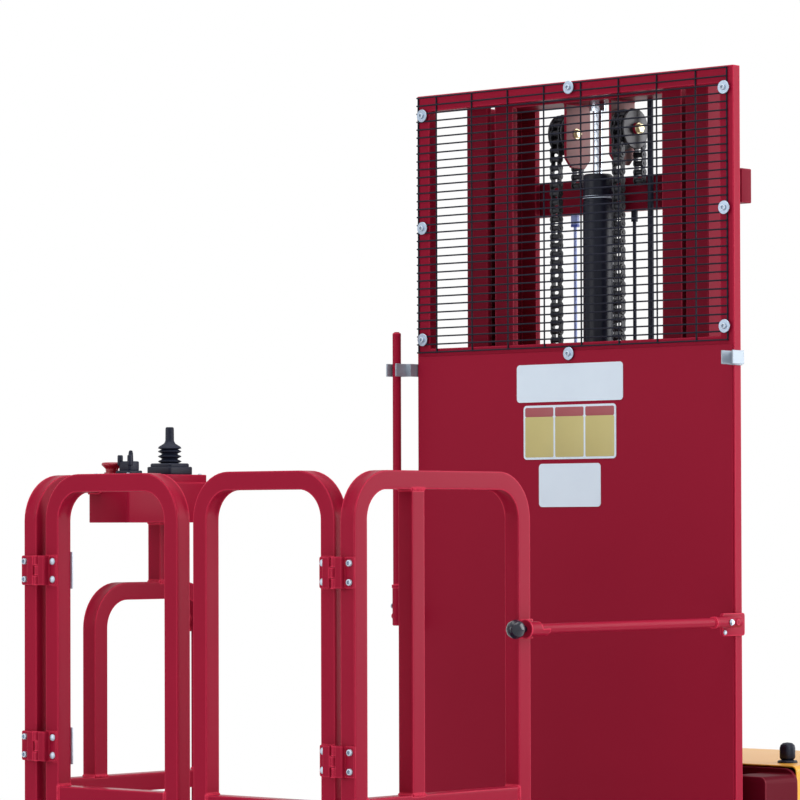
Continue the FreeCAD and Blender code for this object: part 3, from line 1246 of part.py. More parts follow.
# Drive axles in the arches and the drive wheels on them
axle_right = turned("drive_axle_right", (ZERO, s.drive_y, s.drive_round), "X", [
    (arch_in, ZERO), (arch_in, s.drive_flange),
    (arch_in + s.drive_flange_thick, s.drive_flange), (arch_in + s.drive_flange_thick, s.drive_axle),
    (drive_x + s.drive_wide / 2 - s.drive_nut_high, s.drive_axle),
    (drive_x + s.drive_wide / 2 - s.drive_nut_high, s.drive_nut),
    (drive_x + s.drive_wide / 2, s.drive_nut), (drive_x + s.drive_wide / 2, ZERO),
])
keep("drive_axles", both_sides("drive_axles", axle_right))


def wheel(name, x, y, radius, wide, rim, dish, hub, hole, edge):
    """A solid tyre on a dished wheel centre, turned about its axle."""
    half = wide / 2
    web = half - dish
    return turned(name, (x, y, radius), "X", [
        (-web, hole), (web, hole), (web, hub), (web - dish, hub + dish), (web - dish, rim - dish),
        (half - edge / 4, rim), (half, rim + edge / 2), (half, radius - edge), (half - edge, radius),
        (edge - half, radius), (-half, radius - edge), (-half, rim + edge / 2),
        (edge / 4 - half, rim), (dish - web, rim - dish), (dish - web, hub + dish), (-web, hub),
    ])


for label, side in (("left", -1), ("right", 1)):
    keep("drive_wheel_" + label,
         wheel("drive_wheel_" + label, drive_x * side, s.drive_y, s.drive_round, s.drive_wide,
               s.drive_rim, s.drive_dish, s.drive_hub, s.drive_axle + s.drive_play, s.tyre_edge))

# Castors: a crown and two legs that trail back to the axle, and the wheel between them
for label, side in (("left", -1), ("right", 1)):
    middle = castor_x * side
    axle_y = s.castor_y + s.castor_trail
    swivel_top = s.side_rail_low - s.castor_plate
    crown_top = s.fork_crown_low + s.fork_crown
    axle_half = s.fork_in + s.fork_thick + s.fork_axle_over
    fork_parts = [
        round_bar("fork_crown_" + label, "Z", (middle, s.castor_y, s.fork_crown_low),
                  s.fork_crown_round, s.fork_crown),
        round_bar("fork_swivel_" + label, "Z", (middle, s.castor_y, crown_top), s.swivel_round,
                  swivel_top - crown_top),
        round_bar("fork_axle_" + label, "X",
                  (middle - axle_half, axle_y, s.castor_round), s.castor_axle, axle_half * 2),
    ]
    for leg, start in (("in", middle - s.fork_in - s.fork_thick), ("out", middle + s.fork_in)):
        arm = doc.addObject("PartDesign::Body", "fork_leg_%s_%s" % (leg, label))
        half = s.fork_shoulder
        pad(arm, "fork_leg_plate_%s_%s" % (leg, label), "X", start, s.fork_thick, [[
            (s.castor_y - half, crown_top), (s.castor_y - half, s.fork_crown_low - s.fork_crown),
            (axle_y - s.fork_foot, s.castor_round), (axle_y - s.fork_foot, s.castor_round - s.fork_foot),
            (axle_y + s.fork_foot, s.castor_round - s.fork_foot), (axle_y + s.fork_foot, s.castor_round),
            (s.castor_y + half, s.fork_crown_low - s.fork_crown), (s.castor_y + half, crown_top),
        ]])
        fork_parts.append(arm)
    keep("castor_fork_" + label, fuse("castor_fork_" + label, fork_parts))
    keep("castor_wheel_" + label,
         wheel("castor_wheel_" + label, middle, axle_y, s.castor_round, s.castor_wide,
               s.castor_rim, s.castor_dish, s.castor_hub, s.castor_axle + s.drive_play, s.tyre_edge))

# Build, check every object, and write each node
doc.recompute()
problems = []
for item in doc.Objects:
    if "Invalid" in item.State or "Error" in item.State:
        problems.append(item.Name + " " + ",".join(item.State))
for item in NODES:
    if item.Shape.isNull() or not item.Shape.isValid():
        problems.append(item.Label + " has no valid shape")
if problems:
    raise RuntimeError("; ".join(problems))
os.makedirs("parts", exist_ok=True)
for item in NODES:
    item.Shape.exportStep("parts/%s.step" % item.Label)
    box = item.Shape.BoundBox
    print("%-20s %7.0f..%-6.0f %7.0f..%-6.0f %7.0f..%-6.0f solids %d volume %.0f cm3" % (
        item.Label, box.XMin, box.XMax, box.YMin, box.YMax, box.ZMin, box.ZMax,
        len(item.Shape.Solids), item.Shape.Volume / 1000))
print(len(NODES), "nodes")
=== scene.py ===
import json
import math

import bmesh
import bpy
import numpy as np
from bpy.props import FloatProperty, FloatVectorProperty, PointerProperty
from mathutils import Matrix, Vector

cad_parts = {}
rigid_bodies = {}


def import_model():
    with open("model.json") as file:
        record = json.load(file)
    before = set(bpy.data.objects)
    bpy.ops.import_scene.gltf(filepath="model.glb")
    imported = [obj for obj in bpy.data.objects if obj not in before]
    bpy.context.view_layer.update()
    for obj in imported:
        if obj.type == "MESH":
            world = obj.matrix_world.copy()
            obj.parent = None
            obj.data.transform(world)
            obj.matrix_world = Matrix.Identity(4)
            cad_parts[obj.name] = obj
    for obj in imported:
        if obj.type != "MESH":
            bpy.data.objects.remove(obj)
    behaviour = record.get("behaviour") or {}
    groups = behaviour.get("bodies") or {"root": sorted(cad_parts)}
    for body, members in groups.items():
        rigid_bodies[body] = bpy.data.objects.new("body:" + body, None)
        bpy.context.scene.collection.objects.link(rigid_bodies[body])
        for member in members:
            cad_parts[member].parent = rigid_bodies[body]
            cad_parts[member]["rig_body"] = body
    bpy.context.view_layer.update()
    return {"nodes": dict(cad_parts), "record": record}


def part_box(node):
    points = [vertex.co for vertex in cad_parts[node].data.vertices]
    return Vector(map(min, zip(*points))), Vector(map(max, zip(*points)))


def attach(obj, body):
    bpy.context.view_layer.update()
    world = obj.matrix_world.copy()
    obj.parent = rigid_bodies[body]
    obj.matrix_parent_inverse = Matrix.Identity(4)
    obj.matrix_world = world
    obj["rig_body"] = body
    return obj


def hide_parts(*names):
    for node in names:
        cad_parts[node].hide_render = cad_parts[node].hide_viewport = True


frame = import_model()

bl_info = {
    "name": "Order picker truck",
    "version": (1, 0, 0),
    "blender": (4, 5, 0),
    "location": "3D View > Sidebar > Order picker",
    "description": "Dresses the order picker truck: cage, gates, mast guard, mast, hood and wheels",
    "category": "Object",
}

SIDES = (("left", -1.0), ("right", 1.0))


# Properties

def length(name, value, note):
    """A length in metres that a user may change."""
    return FloatProperty(name=name, description=note, default=value, min=0.0, precision=4,
                         unit="LENGTH", subtype="DISTANCE")


def tint(name, value, note):
    """A colour that a user may change."""
    return FloatVectorProperty(name=name, description=note, default=value, size=3, min=0.0,
                               max=1.0, subtype="COLOR")


class CageSizes(bpy.types.PropertyGroup):
    tube: length("Rail tube", 0.030, "Width of the square tube of rails and gates")
    tube_corner: length("Tube corner", 0.0012, "Radius of the tube's own corners")
    bend: length("Bend", 0.078, "Outside radius of the bent tube")
    dent: length("Dent", 0.0042, "How far the tube wall sinks in at a bend")
    gate: length("Gate", 0.312, "Width of one gate over its tubes")
    middle_post: length("Middle post", 0.136, "From the corner post's face to the middle post's")
    mid_rail: length("Middle rail", 0.585, "Top of the middle rail over the deck")
    loop: length("Low loop", 0.916, "Top of the left loop over the deck")
    bead: length("Weld", 0.0024, "Radius of the weld beads")
    edge: length("Edge", 0.0015, "Rounding of cut plate edges")


class HingeSizes(bpy.types.PropertyGroup):
    axis: length("Hinge axis", 0.3385, "Hinge axis from the middle of the truck")
    cover: length("Cover", 0.021, "Half width of the raised cover")
    slot: length("Slot", 0.0056, "Half gap between the cover halves")
    leaf: length("Leaf", 0.038, "Axis to the inner end of the gate leaf")
    flange: length("Flange", 0.041, "Axis to the outer end of the post flange")
    knuckle: length("Knuckle", 0.005, "Radius of the knuckle")
    thick: length("Sheet", 0.004, "Thickness of the hinge sheet")


class GuardSizes(bpy.types.PropertyGroup):
    wire: length("Mesh wire", 0.003, "Diameter of the mesh wire")
    row: length("Mesh row", 0.015, "Distance between level wires")
    column: length("Mesh column", 0.087, "Distance between upright wires")
    washer: length("Washer", 0.012, "Radius of the washers that hold the mesh")
    rail: length("Guard rail", 0.030, "Face width of the guard frame's tubes")


class BarSizes(bpy.types.PropertyGroup):
    sleeve: length("Sleeve", 0.077, "Length of the sleeve round a drop bar's pivot end")
    pivot_back: length("Behind the pivot", 0.018, "Bar's end behind its pivot")
    bolt_ahead: length("Bolt", 0.019, "Clamp bolt in front of the pivot")
    bolt: length("Bolt head", 0.0048, "Radius of the bolt heads on sleeve and bracket")
    stem: length("Knob stem", 0.0055, "Radius of a latch knob's stem")
    bracket: length("Bracket", 0.006, "Thickness of a bracket")


class ChainSizes(bpy.types.PropertyGroup):
    pitch: length("Chain pitch", 0.015875, "Distance between two chain pins")
    roller: length("Chain roller", 0.0051, "Radius of the chain rollers")
    plate: length("Chain plate", 0.0068, "Half depth of a link plate")


class TruckColours(bpy.types.PropertyGroup):
    cage: tint("Cage red", (0.34, 0.0080, 0.034), "Powder coat of the cage, gates and guard")
    # Painted shade: the mast red is the cage red drawn darker, for the mast and the chassis that share it.
    mast: tint("Mast red", (0.19, 0.0055, 0.021), "Paint of the mast and chassis")
    hood: tint("Hood yellow", (0.80, 0.38, 0.04), "Paint of the power unit hood")
    black: tint("Black paint", (0.010, 0.012, 0.024), "Mesh, barrel and other black metal")
    plastic: tint("Black plastic", (0.008, 0.011, 0.026), "Joystick, switch, knobs and cap")
    rubber: tint("Rubber", (0.022, 0.022, 0.024), "Tyres, hose and deck mat")
    zinc: tint("Zinc", (0.52, 0.60, 0.70), "Washers, screws and clips")
    passivate: tint("Yellow zinc", (0.75, 0.66, 0.42), "Pulley bolts")
    white: tint("Plate white", (0.74, 0.86, 0.98), "Blank white plates")
    panel: tint("Plate yellow", (0.56, 0.49, 0.19), "Panels of the blank yellow plate")


class StudioSettings(bpy.types.PropertyGroup):
    key: FloatProperty(name="Side light", description="Power of the light on the right", default=125.0,
                       unit="POWER")
    fill: FloatProperty(name="Front light", description="Power of the soft front light", default=95.0,
                        unit="POWER")
    top: FloatProperty(name="Top light", description="Power of the light overhead", default=120.0,
                       unit="POWER")
    room: FloatProperty(name="Room", description="Strength of the pale room", default=0.42)


# Shapes

class Surface:
    """Points with faces, kept as arrays of faces that have equally many corners."""

    def __init__(self, points, faces):
        self.points = np.asarray(points, float).reshape(-1, 3)
        self.faces = [np.asarray(face, int) for face in faces]


def joined(surfaces):
    """Several surfaces as one: the points follow each other and the faces count on."""
    faces, start = [], 0
    for surface in surfaces:
        faces += [face + start for face in surface.faces]
        start += len(surface.points)
    return Surface(np.concatenate([surface.points for surface in surfaces]), faces)


def lattice(points, around=True, capped=False):
    """A surface over points[row, column]: one face between each four neighbours. Around closes the
    last column to the first; capped closes the first and the last row with one flat face each."""
    rows, columns = points.shape[:2]
    index = np.arange(rows * columns).reshape(rows, columns)
    cells = np.concatenate([index, index[:, :1]], 1) if around else index
    faces = [np.stack([cells[:-1, :-1], cells[1:, :-1], cells[1:, 1:], cells[:-1, 1:]], -1).reshape(-1, 4)]
    if capped:
        faces += [index[:1, ::-1], index[-1:]]
    return Surface(points, faces)


def repeated(surface, origins, frames=None):
    """Copies of a surface: each point is the origin plus the point's three sizes times the frame's
    three axes, for every origin at once."""
    origins = np.asarray(origins, float).reshape(-1, 3)
    if frames is None:
        frames = np.broadcast_to(np.eye(3), (len(origins), 3, 3))
    points = origins[:, None] + np.einsum("pj,kji->kpi", surface.points, np.asarray(frames, float))
    steps = np.arange(len(origins))[:, None, None] * len(surface.points)
    faces = [(face[None] + steps).reshape(-1, face.shape[1]) for face in surface.faces]
    return Surface(points, faces)


def mirrored(surface):
    """The surface on the truck's other side: every X changes its sign."""
    return Surface(surface.points * (-1, 1, 1), [face[:, ::-1] for face in surface.faces])


def rounded_rectangle(width, height, corner, steps=4):
    """Outline of a rectangle with round corners: each corner's middle plus the radius times the
    cosine and sine of the turn."""
    turn = np.linspace(0, np.pi / 2, steps + 1)[None] + np.arange(4)[:, None] * np.pi / 2
    middle = np.array([[1, 1], [-1, 1], [-1, -1], [1, -1]]) * (width / 2 - corner, height / 2 - corner)
    return (middle[:, None] + corner * np.stack([np.cos(turn), np.sin(turn)], -1)).reshape(-1, 2)


def rounded_block(low, high, edge, corner=0.0, axis=2, steps=3):
    """A block with round edges: rounded rectangles stacked along an axis, drawn in near both ends by
    the edge radius times one minus the sine of the turn."""
    low, high = np.asarray(low, float), np.asarray(high, float)
    order = [(axis + 1) % 3, (axis + 2) % 3, axis]
    size, middle = (high - low)[order], ((low + high) / 2)[order]
    corner = max(corner, edge * 1.02)
    turn = np.linspace(0, np.pi / 2, steps + 1)
    inset = edge * (1 - np.sin(turn))
    lift = edge * (1 - np.cos(turn))
    insets = np.concatenate([inset, inset[::-1]])
    rings = [rounded_rectangle(size[0] - 2 * i, size[1] - 2 * i, corner - i, steps) for i in insets]
    levels = np.concatenate([lift, size[2] - lift[::-1]]) - size[2] / 2
    heights = np.broadcast_to(levels[:, None, None], (len(rings), len(rings[0]), 1))
    points = np.concatenate([rings, heights], 2)
    placed = np.empty_like(points)
    placed[..., order] = points + middle
    return lattice(placed, capped=True)


def revolved(profile, middle, axis=2, steps=32, wave=None):
    """A surface of revolution: each profile pair is a height along the axis and a radius, and the
    radius, times the wave of the turn if there is one, goes round by cosine and sine."""
    profile = np.asarray(profile, float)
    turn = np.linspace(0, 2 * np.pi, steps, endpoint=False)
    radius = profile[:, 1:] * (np.ones(steps) if wave is None else wave(turn))
    points = np.empty((len(profile), steps, 3))
    points[..., (axis + 1) % 3] = radius * np.cos(turn)
    points[..., (axis + 2) % 3] = radius * np.sin(turn)
    points[..., axis] = profile[:, :1]
    return lattice(points + np.asarray(middle, float))


def square_section(half, corner, flat=6, steps=3):
    """Outline of a square tube: each quarter is a flat face, cut into equal steps, and a round
    corner; the other quarters are the first one turned."""
    along = np.linspace(corner - half, half - corner, flat + 1)[:-1]
    turn = np.linspace(0, np.pi / 2, steps + 1)[:-1]
    quarter = np.concatenate([
        np.stack([np.full(flat, half), along], -1),
        half - corner + corner * np.stack([np.cos(turn), np.sin(turn)], -1),
    ])
    quarters = []
    for angle in np.arange(4) * np.pi / 2:
        cosine, sine = math.cos(angle), math.sin(angle)
        quarters.append(quarter @ np.array([[cosine, sine], [-sine, cosine]]))
    return np.concatenate(quarters)


def bent_line(corners, radius, steps=12):
    """A flat line of straight runs joined by arcs tangent to both: stations with their place, their
    direction and, from 0 to 1, how deep in a bend each one is."""
    corners = np.asarray(corners, float)
    places, directions, depths = [corners[:1]], [], [np.zeros(1)]
    ways = np.diff(corners, axis=0)
    ways /= np.linalg.norm(ways, axis=1)[:, None]
    directions.append(ways[:1])
    for corner, before, after in zip(corners[1:-1], ways, ways[1:]):
        turn = math.atan2(before[0] * after[1] - before[1] * after[0], before @ after)
        side = np.array([-before[1], before[0]]) * math.copysign(1, turn)
        start = corner - before * radius * math.tan(abs(turn) / 2)
        share = np.linspace(0, 1, steps + 1)
        swept = share * abs(turn)
        places.append(start + radius * (np.outer(np.sin(swept), before) + np.outer(1 - np.cos(swept), side)))
        directions.append(np.outer(np.cos(swept), before) + np.outer(np.sin(swept), side))
        depths.append(np.minimum(1, 1.6 * np.sin(np.pi * share)))
    places.append(corners[-1:])
    directions.append(ways[-1:])
    depths.append(np.zeros(1))
    return np.concatenate(places), np.concatenate(directions), np.concatenate(depths)


def bent_tube(corners, radius, axis, level, half, corner, dent):
    """A square tube carried along a bent line in the plane across an axis. In a bend the outer and
    the inner wall sink in by the dent times the depth of the bend and a flat-bottomed trough, one minus
    the fourth power of the place across the wall."""
    places, directions, depths = bent_line(corners, radius)
    section = square_section(half, corner)
    across = 1 - (section[:, 1] / (half - corner)) ** 4
    sink = dent * depths[:, None] * across * (np.abs(section[:, 0]) > half - corner * 0.01)
    out = section[:, 0] - np.sign(section[:, 0]) * sink
    side = np.stack([-directions[:, 1], directions[:, 0]], -1)
    flat = places[:, None] + side[:, None] * out[..., None]
    points = np.empty(flat.shape[:2] + (3,))
    plane = [i for i in range(3) if i != axis]
    points[..., plane] = flat
    points[..., axis] = level + section[:, 1]
    return lattice(points, capped=True)


def weld(start, end, radius, ripples=0.0035):
    """A weld bead: a round bar whose radius swells by a sine of the way along it."""
    start, end = np.asarray(start, float), np.asarray(end, float)
    way = end - start
    span = np.linalg.norm(way)
    way = way / span
    count = max(6, int(span / ripples * 4))
    along = np.linspace(0, span, count)
    first = np.cross(way, (0.3, 0.5, 0.81))
    first /= np.linalg.norm(first)
    second = np.cross(way, first)
    turn = np.linspace(0, 2 * np.pi, 8, endpoint=False)
    thick = radius * (1 + 0.16 * np.sin(2 * np.pi * along / ripples))
    thick[[0, -1]] *= 0.5
    ring = np.outer(np.cos(turn), first) + np.outer(np.sin(turn), second)
    return lattice(start + along[:, None, None] * way + thick[:, None, None] * ring, capped=True)


def weld_round(middle, axis, half, radius):
    """Four beads round a square tube where it meets another face across an axis."""
    plane = [i for i in range(3) if i != axis]
    corners = []
    for u, v in ((-1, -1), (1, -1), (1, 1), (-1, 1)):
        corner = np.array(middle, float)
        corner[plane] += np.array([u, v]) * half
        corners.append(corner)
    return joined([weld(a, b, radius) for a, b in zip(corners, corners[1:] + corners[:1])])


HEX = 6


def hex_wave(turn):
    """Radius of a hexagon over the turn, one at its corners."""
    return math.cos(math.pi / HEX) / np.cos((turn % (2 * math.pi / HEX)) - math.pi / HEX)


def socket_screw(radius):
    """A round screw head with a hexagonal hole: rings that pass from a circle to a hexagon."""
    height = radius * 0.8
    head = revolved([
        (0, 0), (0, radius), (height * 0.7, radius), (height * 0.93, radius * 0.93),
        (height, radius * 0.82), (height, radius * 0.6),
    ], (0, 0, 0), steps=24)
    hole = revolved([(height, radius * 0.6), (height * 0.3, radius * 0.55), (height * 0.3, 0)],
                    (0, 0, 0), steps=24, wave=hex_wave)
    return joined([head, hole])


def dome_screw(radius):
    """A domed screw head: a flat rim under a part of a circle."""
    turn = np.linspace(0, np.pi / 2, 6)
    dome = np.stack([radius * 0.12 + radius * 0.5 * np.sin(turn), radius * np.cos(turn)], -1)
    return revolved(np.concatenate([[(0, 0), (0, radius)], dome]), (0, 0, 0), steps=24)


def hex_head(radius):
    """A hexagonal bolt head with a chamfered top over a round flange."""
    flange = revolved([(0, 0), (0, radius * 1.15), (radius * 0.16, radius * 1.12), (radius * 0.16, 0)],
                      (0, 0, 0), steps=24)
    head = revolved([(radius * 0.16, 0), (radius * 0.16, radius), (radius * 0.62, radius),
                     (radius * 0.76, radius * 0.84), (radius * 0.76, 0)], (0, 0, 0), steps=24, wave=hex_wave)
    return joined([flange, head])


def washer(outer, inner, thick):
    """A flat ring with a small rounding on its outer edge."""
    soft = thick * 0.3
    return revolved([(0, inner), (0, outer - soft), (soft, outer), (thick - soft, outer),
                     (thick, outer - soft), (thick, inner), (0, inner)], (0, 0, 0), steps=28)


def facing(axis, sign):
    """A frame whose third axis points along plus or minus the given axis."""
    frame_axes = np.zeros((3, 3))
    frame_axes[2, axis] = sign
    frame_axes[0, (axis + 1) % 3] = 1.0
    frame_axes[1] = np.cross(frame_axes[2], frame_axes[0])
    return frame_axes


def prism(outline, axis, low, high):
    """A flat outline pulled out along an axis from a low to a high place."""
    outline = np.asarray(outline, float)
    points = np.empty((2, len(outline), 3))
    points[..., [i for i in range(3) if i != axis]] = outline
    points[..., axis] = np.array([low, high])[:, None]
    return lattice(points, capped=True)


def block_on(x, y, half, levels, edge, corner):
    """A block with round edges about an upright line through x and y: half holds its half sizes,
    levels its foot and its top."""
    return rounded_block((x - half[0], y - half[1], levels[0]), (x + half[0], y + half[1], levels[1]),
                         edge, corner)


def sheet_between(x, y, z, edge, corner):
    """A sheet that faces along Y, between two places along each axis, with round edges."""
    return rounded_block((x[0], y[0], z[0]), (x[1], y[1], z[1]), edge, corner, 1)


def rod(low, high, radius, middle):
    """A plain round rod along Z."""
    return revolved([(low, 0), (low, radius), (high, radius), (high, 0)], middle, steps=24)


def fasteners(shape, places, axis, sign):
    """One fastener shape at every place, its head towards plus or minus the axis."""
    return repeated(shape, places, [facing(axis, sign)] * len(places))


# Making the pieces

def piece(name, surface, body, finish, slot, replaces=(), smooth=35.0):
    """Makes the object of a surface: joins doubled points, turns its faces outwards, gives it its
    finish and lets it ride on its body."""
    mesh = bpy.data.meshes.new(name)
    corners = np.concatenate([face.ravel() for face in surface.faces]).astype(np.int32)
    counts = np.concatenate([np.full(len(face), face.shape[1]) for face in surface.faces])
    mesh.vertices.add(len(surface.points))
    mesh.vertices.foreach_set("co", surface.points.astype(np.float32).ravel())
    mesh.loops.add(len(corners))
    mesh.loops.foreach_set("vertex_index", corners)
    mesh.polygons.add(len(counts))
    mesh.polygons.foreach_set("loop_start", np.concatenate([[0], np.cumsum(counts)[:-1]]).astype(np.int32))
    mesh.update(calc_edges=True)
    work = bmesh.new()
    work.from_mesh(mesh)
    bmesh.ops.remove_doubles(work, verts=work.verts, dist=1e-7)
    bmesh.ops.dissolve_degenerate(work, edges=work.edges, dist=1e-8)
    bmesh.ops.recalc_face_normals(work, faces=work.faces)
    work.to_mesh(mesh)
    work.free()
    return placed(name, mesh, body, finish, slot, replaces, smooth)


def placed(name, mesh, body, finish, slot, replaces=(), smooth=35.0):
    """Links the mesh as an object with its finish, shading and body."""
    mesh.polygons.foreach_set("use_smooth", np.ones(len(mesh.polygons), bool))
    mesh.set_sharp_from_angle(angle=math.radians(smooth))
    mesh.materials.clear()
    mesh.materials.append(bpy.data.materials[finish])
    thing = bpy.data.objects.new(name, mesh)
    bpy.context.scene.collection.objects.link(thing)
    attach(thing, body)
    if replaces:
        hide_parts(*replaces)
    return thing


def node_slot(node):
    """The record's material slot of a CAD node."""
    return next(part["material_slot"] for part in frame["record"]["subparts"] if part["node"] == node)


def body_of(node):
    """The body a CAD node moves with."""
    return frame["nodes"][node]["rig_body"]


def softened(node, finish, edge, segments=2, smooth=40.0):
    """The CAD node's own form with round edges: its loose triangles are joined, those that lie flat
    become one face, and a bevel rounds each edge over 30 degrees."""
    mesh = bpy.data.meshes.new(node + "_dressed")
    work = bmesh.new()
    work.from_mesh(frame["nodes"][node].data)
    bmesh.ops.remove_doubles(work, verts=work.verts, dist=1e-5)
    bmesh.ops.dissolve_limit(work, angle_limit=math.radians(1), verts=work.verts, edges=work.edges)
    work.to_mesh(mesh)
    work.free()
    thing = placed(node + "_dressed", mesh, body_of(node), finish, node_slot(node), (node,), smooth)
    bevel = thing.modifiers.new("round_edges", "BEVEL")
    bevel.width = edge
    bevel.segments = segments
    bevel.limit_method = "ANGLE"
    bevel.angle_limit = math.radians(30)
    bevel.use_clamp_overlap = True
    bevel.harden_normals = False
    return thing


def dress(node, finish):
    """Gives a CAD node that stays its finish."""
    mesh = frame["nodes"][node].data
    mesh.materials.clear()
    mesh.materials.append(bpy.data.materials[finish])


def box(node):
    """Lowest and highest corner of a CAD node as arrays."""
    low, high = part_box(node)
    return np.array(low), np.array(high)


# Finishes

def add_node(tree, kind, sockets=(), **settings):
    """Adds a shader node and fills its sockets with plain values or with other nodes' outputs."""
    node = tree.nodes.new("ShaderNode" + kind)
    for key, value in settings.items():
        setattr(node, key, value)
    for key, value in dict(sockets).items():
        if isinstance(value, bpy.types.NodeSocket):
            tree.links.new(value, node.inputs[key])
        else:
            node.inputs[key].default_value = value
    return node


def finish(name, colour, shade=0.10, patch=3.0, rough=(0.3, 0.45), grain=900.0, bump=0.04,
           metal=0.0, specular=0.5, edge_highlight=0.0, dust=0.0, stretch=(1.0, 1.0, 1.0)):
    """A finish whose colour and roughness drift with a broad noise, with fine grain as bump. The edge
    highlight is painted highlight: it lightens the colour where the rounded normal leaves the true
    one, which is along edges; dust greys the faces that look up."""
    material = bpy.data.materials.new(name)
    material.use_nodes = True
    tree = material.node_tree
    tree.nodes.clear()
    place = add_node(tree, "Mapping", {
        "Vector": add_node(tree, "TexCoord").outputs["Object"], "Scale": stretch,
    }).outputs["Vector"]
    broad = add_node(tree, "TexNoise", {"Vector": place, "Scale": patch, "Detail": 5.0}).outputs["Fac"]
    fine = add_node(tree, "TexNoise", {"Vector": place, "Scale": grain, "Detail": 2.0}).outputs["Fac"]
    drift = add_node(tree, "ValToRGB", {"Fac": broad})
    drift.color_ramp.elements[0].position = 0.3
    drift.color_ramp.elements[1].position = 0.7
    drift.color_ramp.elements[0].color = tuple(part * (1 - shade) for part in colour) + (1.0,)
    drift.color_ramp.elements[1].color = tuple(min(1, part * (1 + shade)) for part in colour) + (1.0,)
    tone = drift.outputs["Color"]
    if edge_highlight or dust:
        normal = add_node(tree, "NewGeometry").outputs["Normal"]
    # Painted highlight: a paler copy of the colour along rounded edges, where the bevel normal leaves the true
    # one.
    if edge_highlight:
        soft = add_node(tree, "Bevel", {"Radius": 0.0045}, samples=8).outputs["Normal"]
        turned = add_node(tree, "VectorMath", {0: soft, 1: normal}, operation="DOT_PRODUCT").outputs["Value"]
        edge = add_node(tree, "MapRange", {
            "Value": turned, "From Min": 0.992, "From Max": 0.90, "To Min": 0.0, "To Max": edge_highlight,
        }).outputs["Result"]
        pale = tuple(min(1, part * 2.4 + 0.03) for part in colour) + (1.0,)
        tone = add_node(tree, "MixRGB", {"Fac": edge, "Color1": tone, "Color2": pale}).outputs["Color"]
    if dust:
        up = add_node(tree, "SeparateXYZ", {"Vector": normal}).outputs["Z"]
        lying = add_node(tree, "MapRange", {
            "Value": up, "From Min": 0.6, "From Max": 1.0, "To Min": 0.0, "To Max": dust,
        }).outputs["Result"]
        share = add_node(tree, "Math", {0: lying, 1: broad}, operation="MULTIPLY").outputs["Value"]
        tone = add_node(tree, "MixRGB", {
            "Fac": share, "Color1": tone, "Color2": (0.30, 0.27, 0.24, 1.0),
        }).outputs["Color"]
    roughness = add_node(tree, "MapRange", {
        "Value": broad, "From Min": 0.3, "From Max": 0.7, "To Min": rough[0], "To Max": rough[1],
    }).outputs["Result"]
    relief = add_node(tree, "Bump", {"Height": fine, "Strength": bump, "Distance": 0.001}).outputs["Normal"]
    shader = add_node(tree, "BsdfPrincipled", {
        "Base Color": tone, "Roughness": roughness, "Metallic": metal, "Specular IOR Level": specular,
        "Normal": relief,
    })
    output = add_node(tree, "OutputMaterial", {"Surface": shader.outputs["BSDF"]})
    output.target = "ALL"
    return material


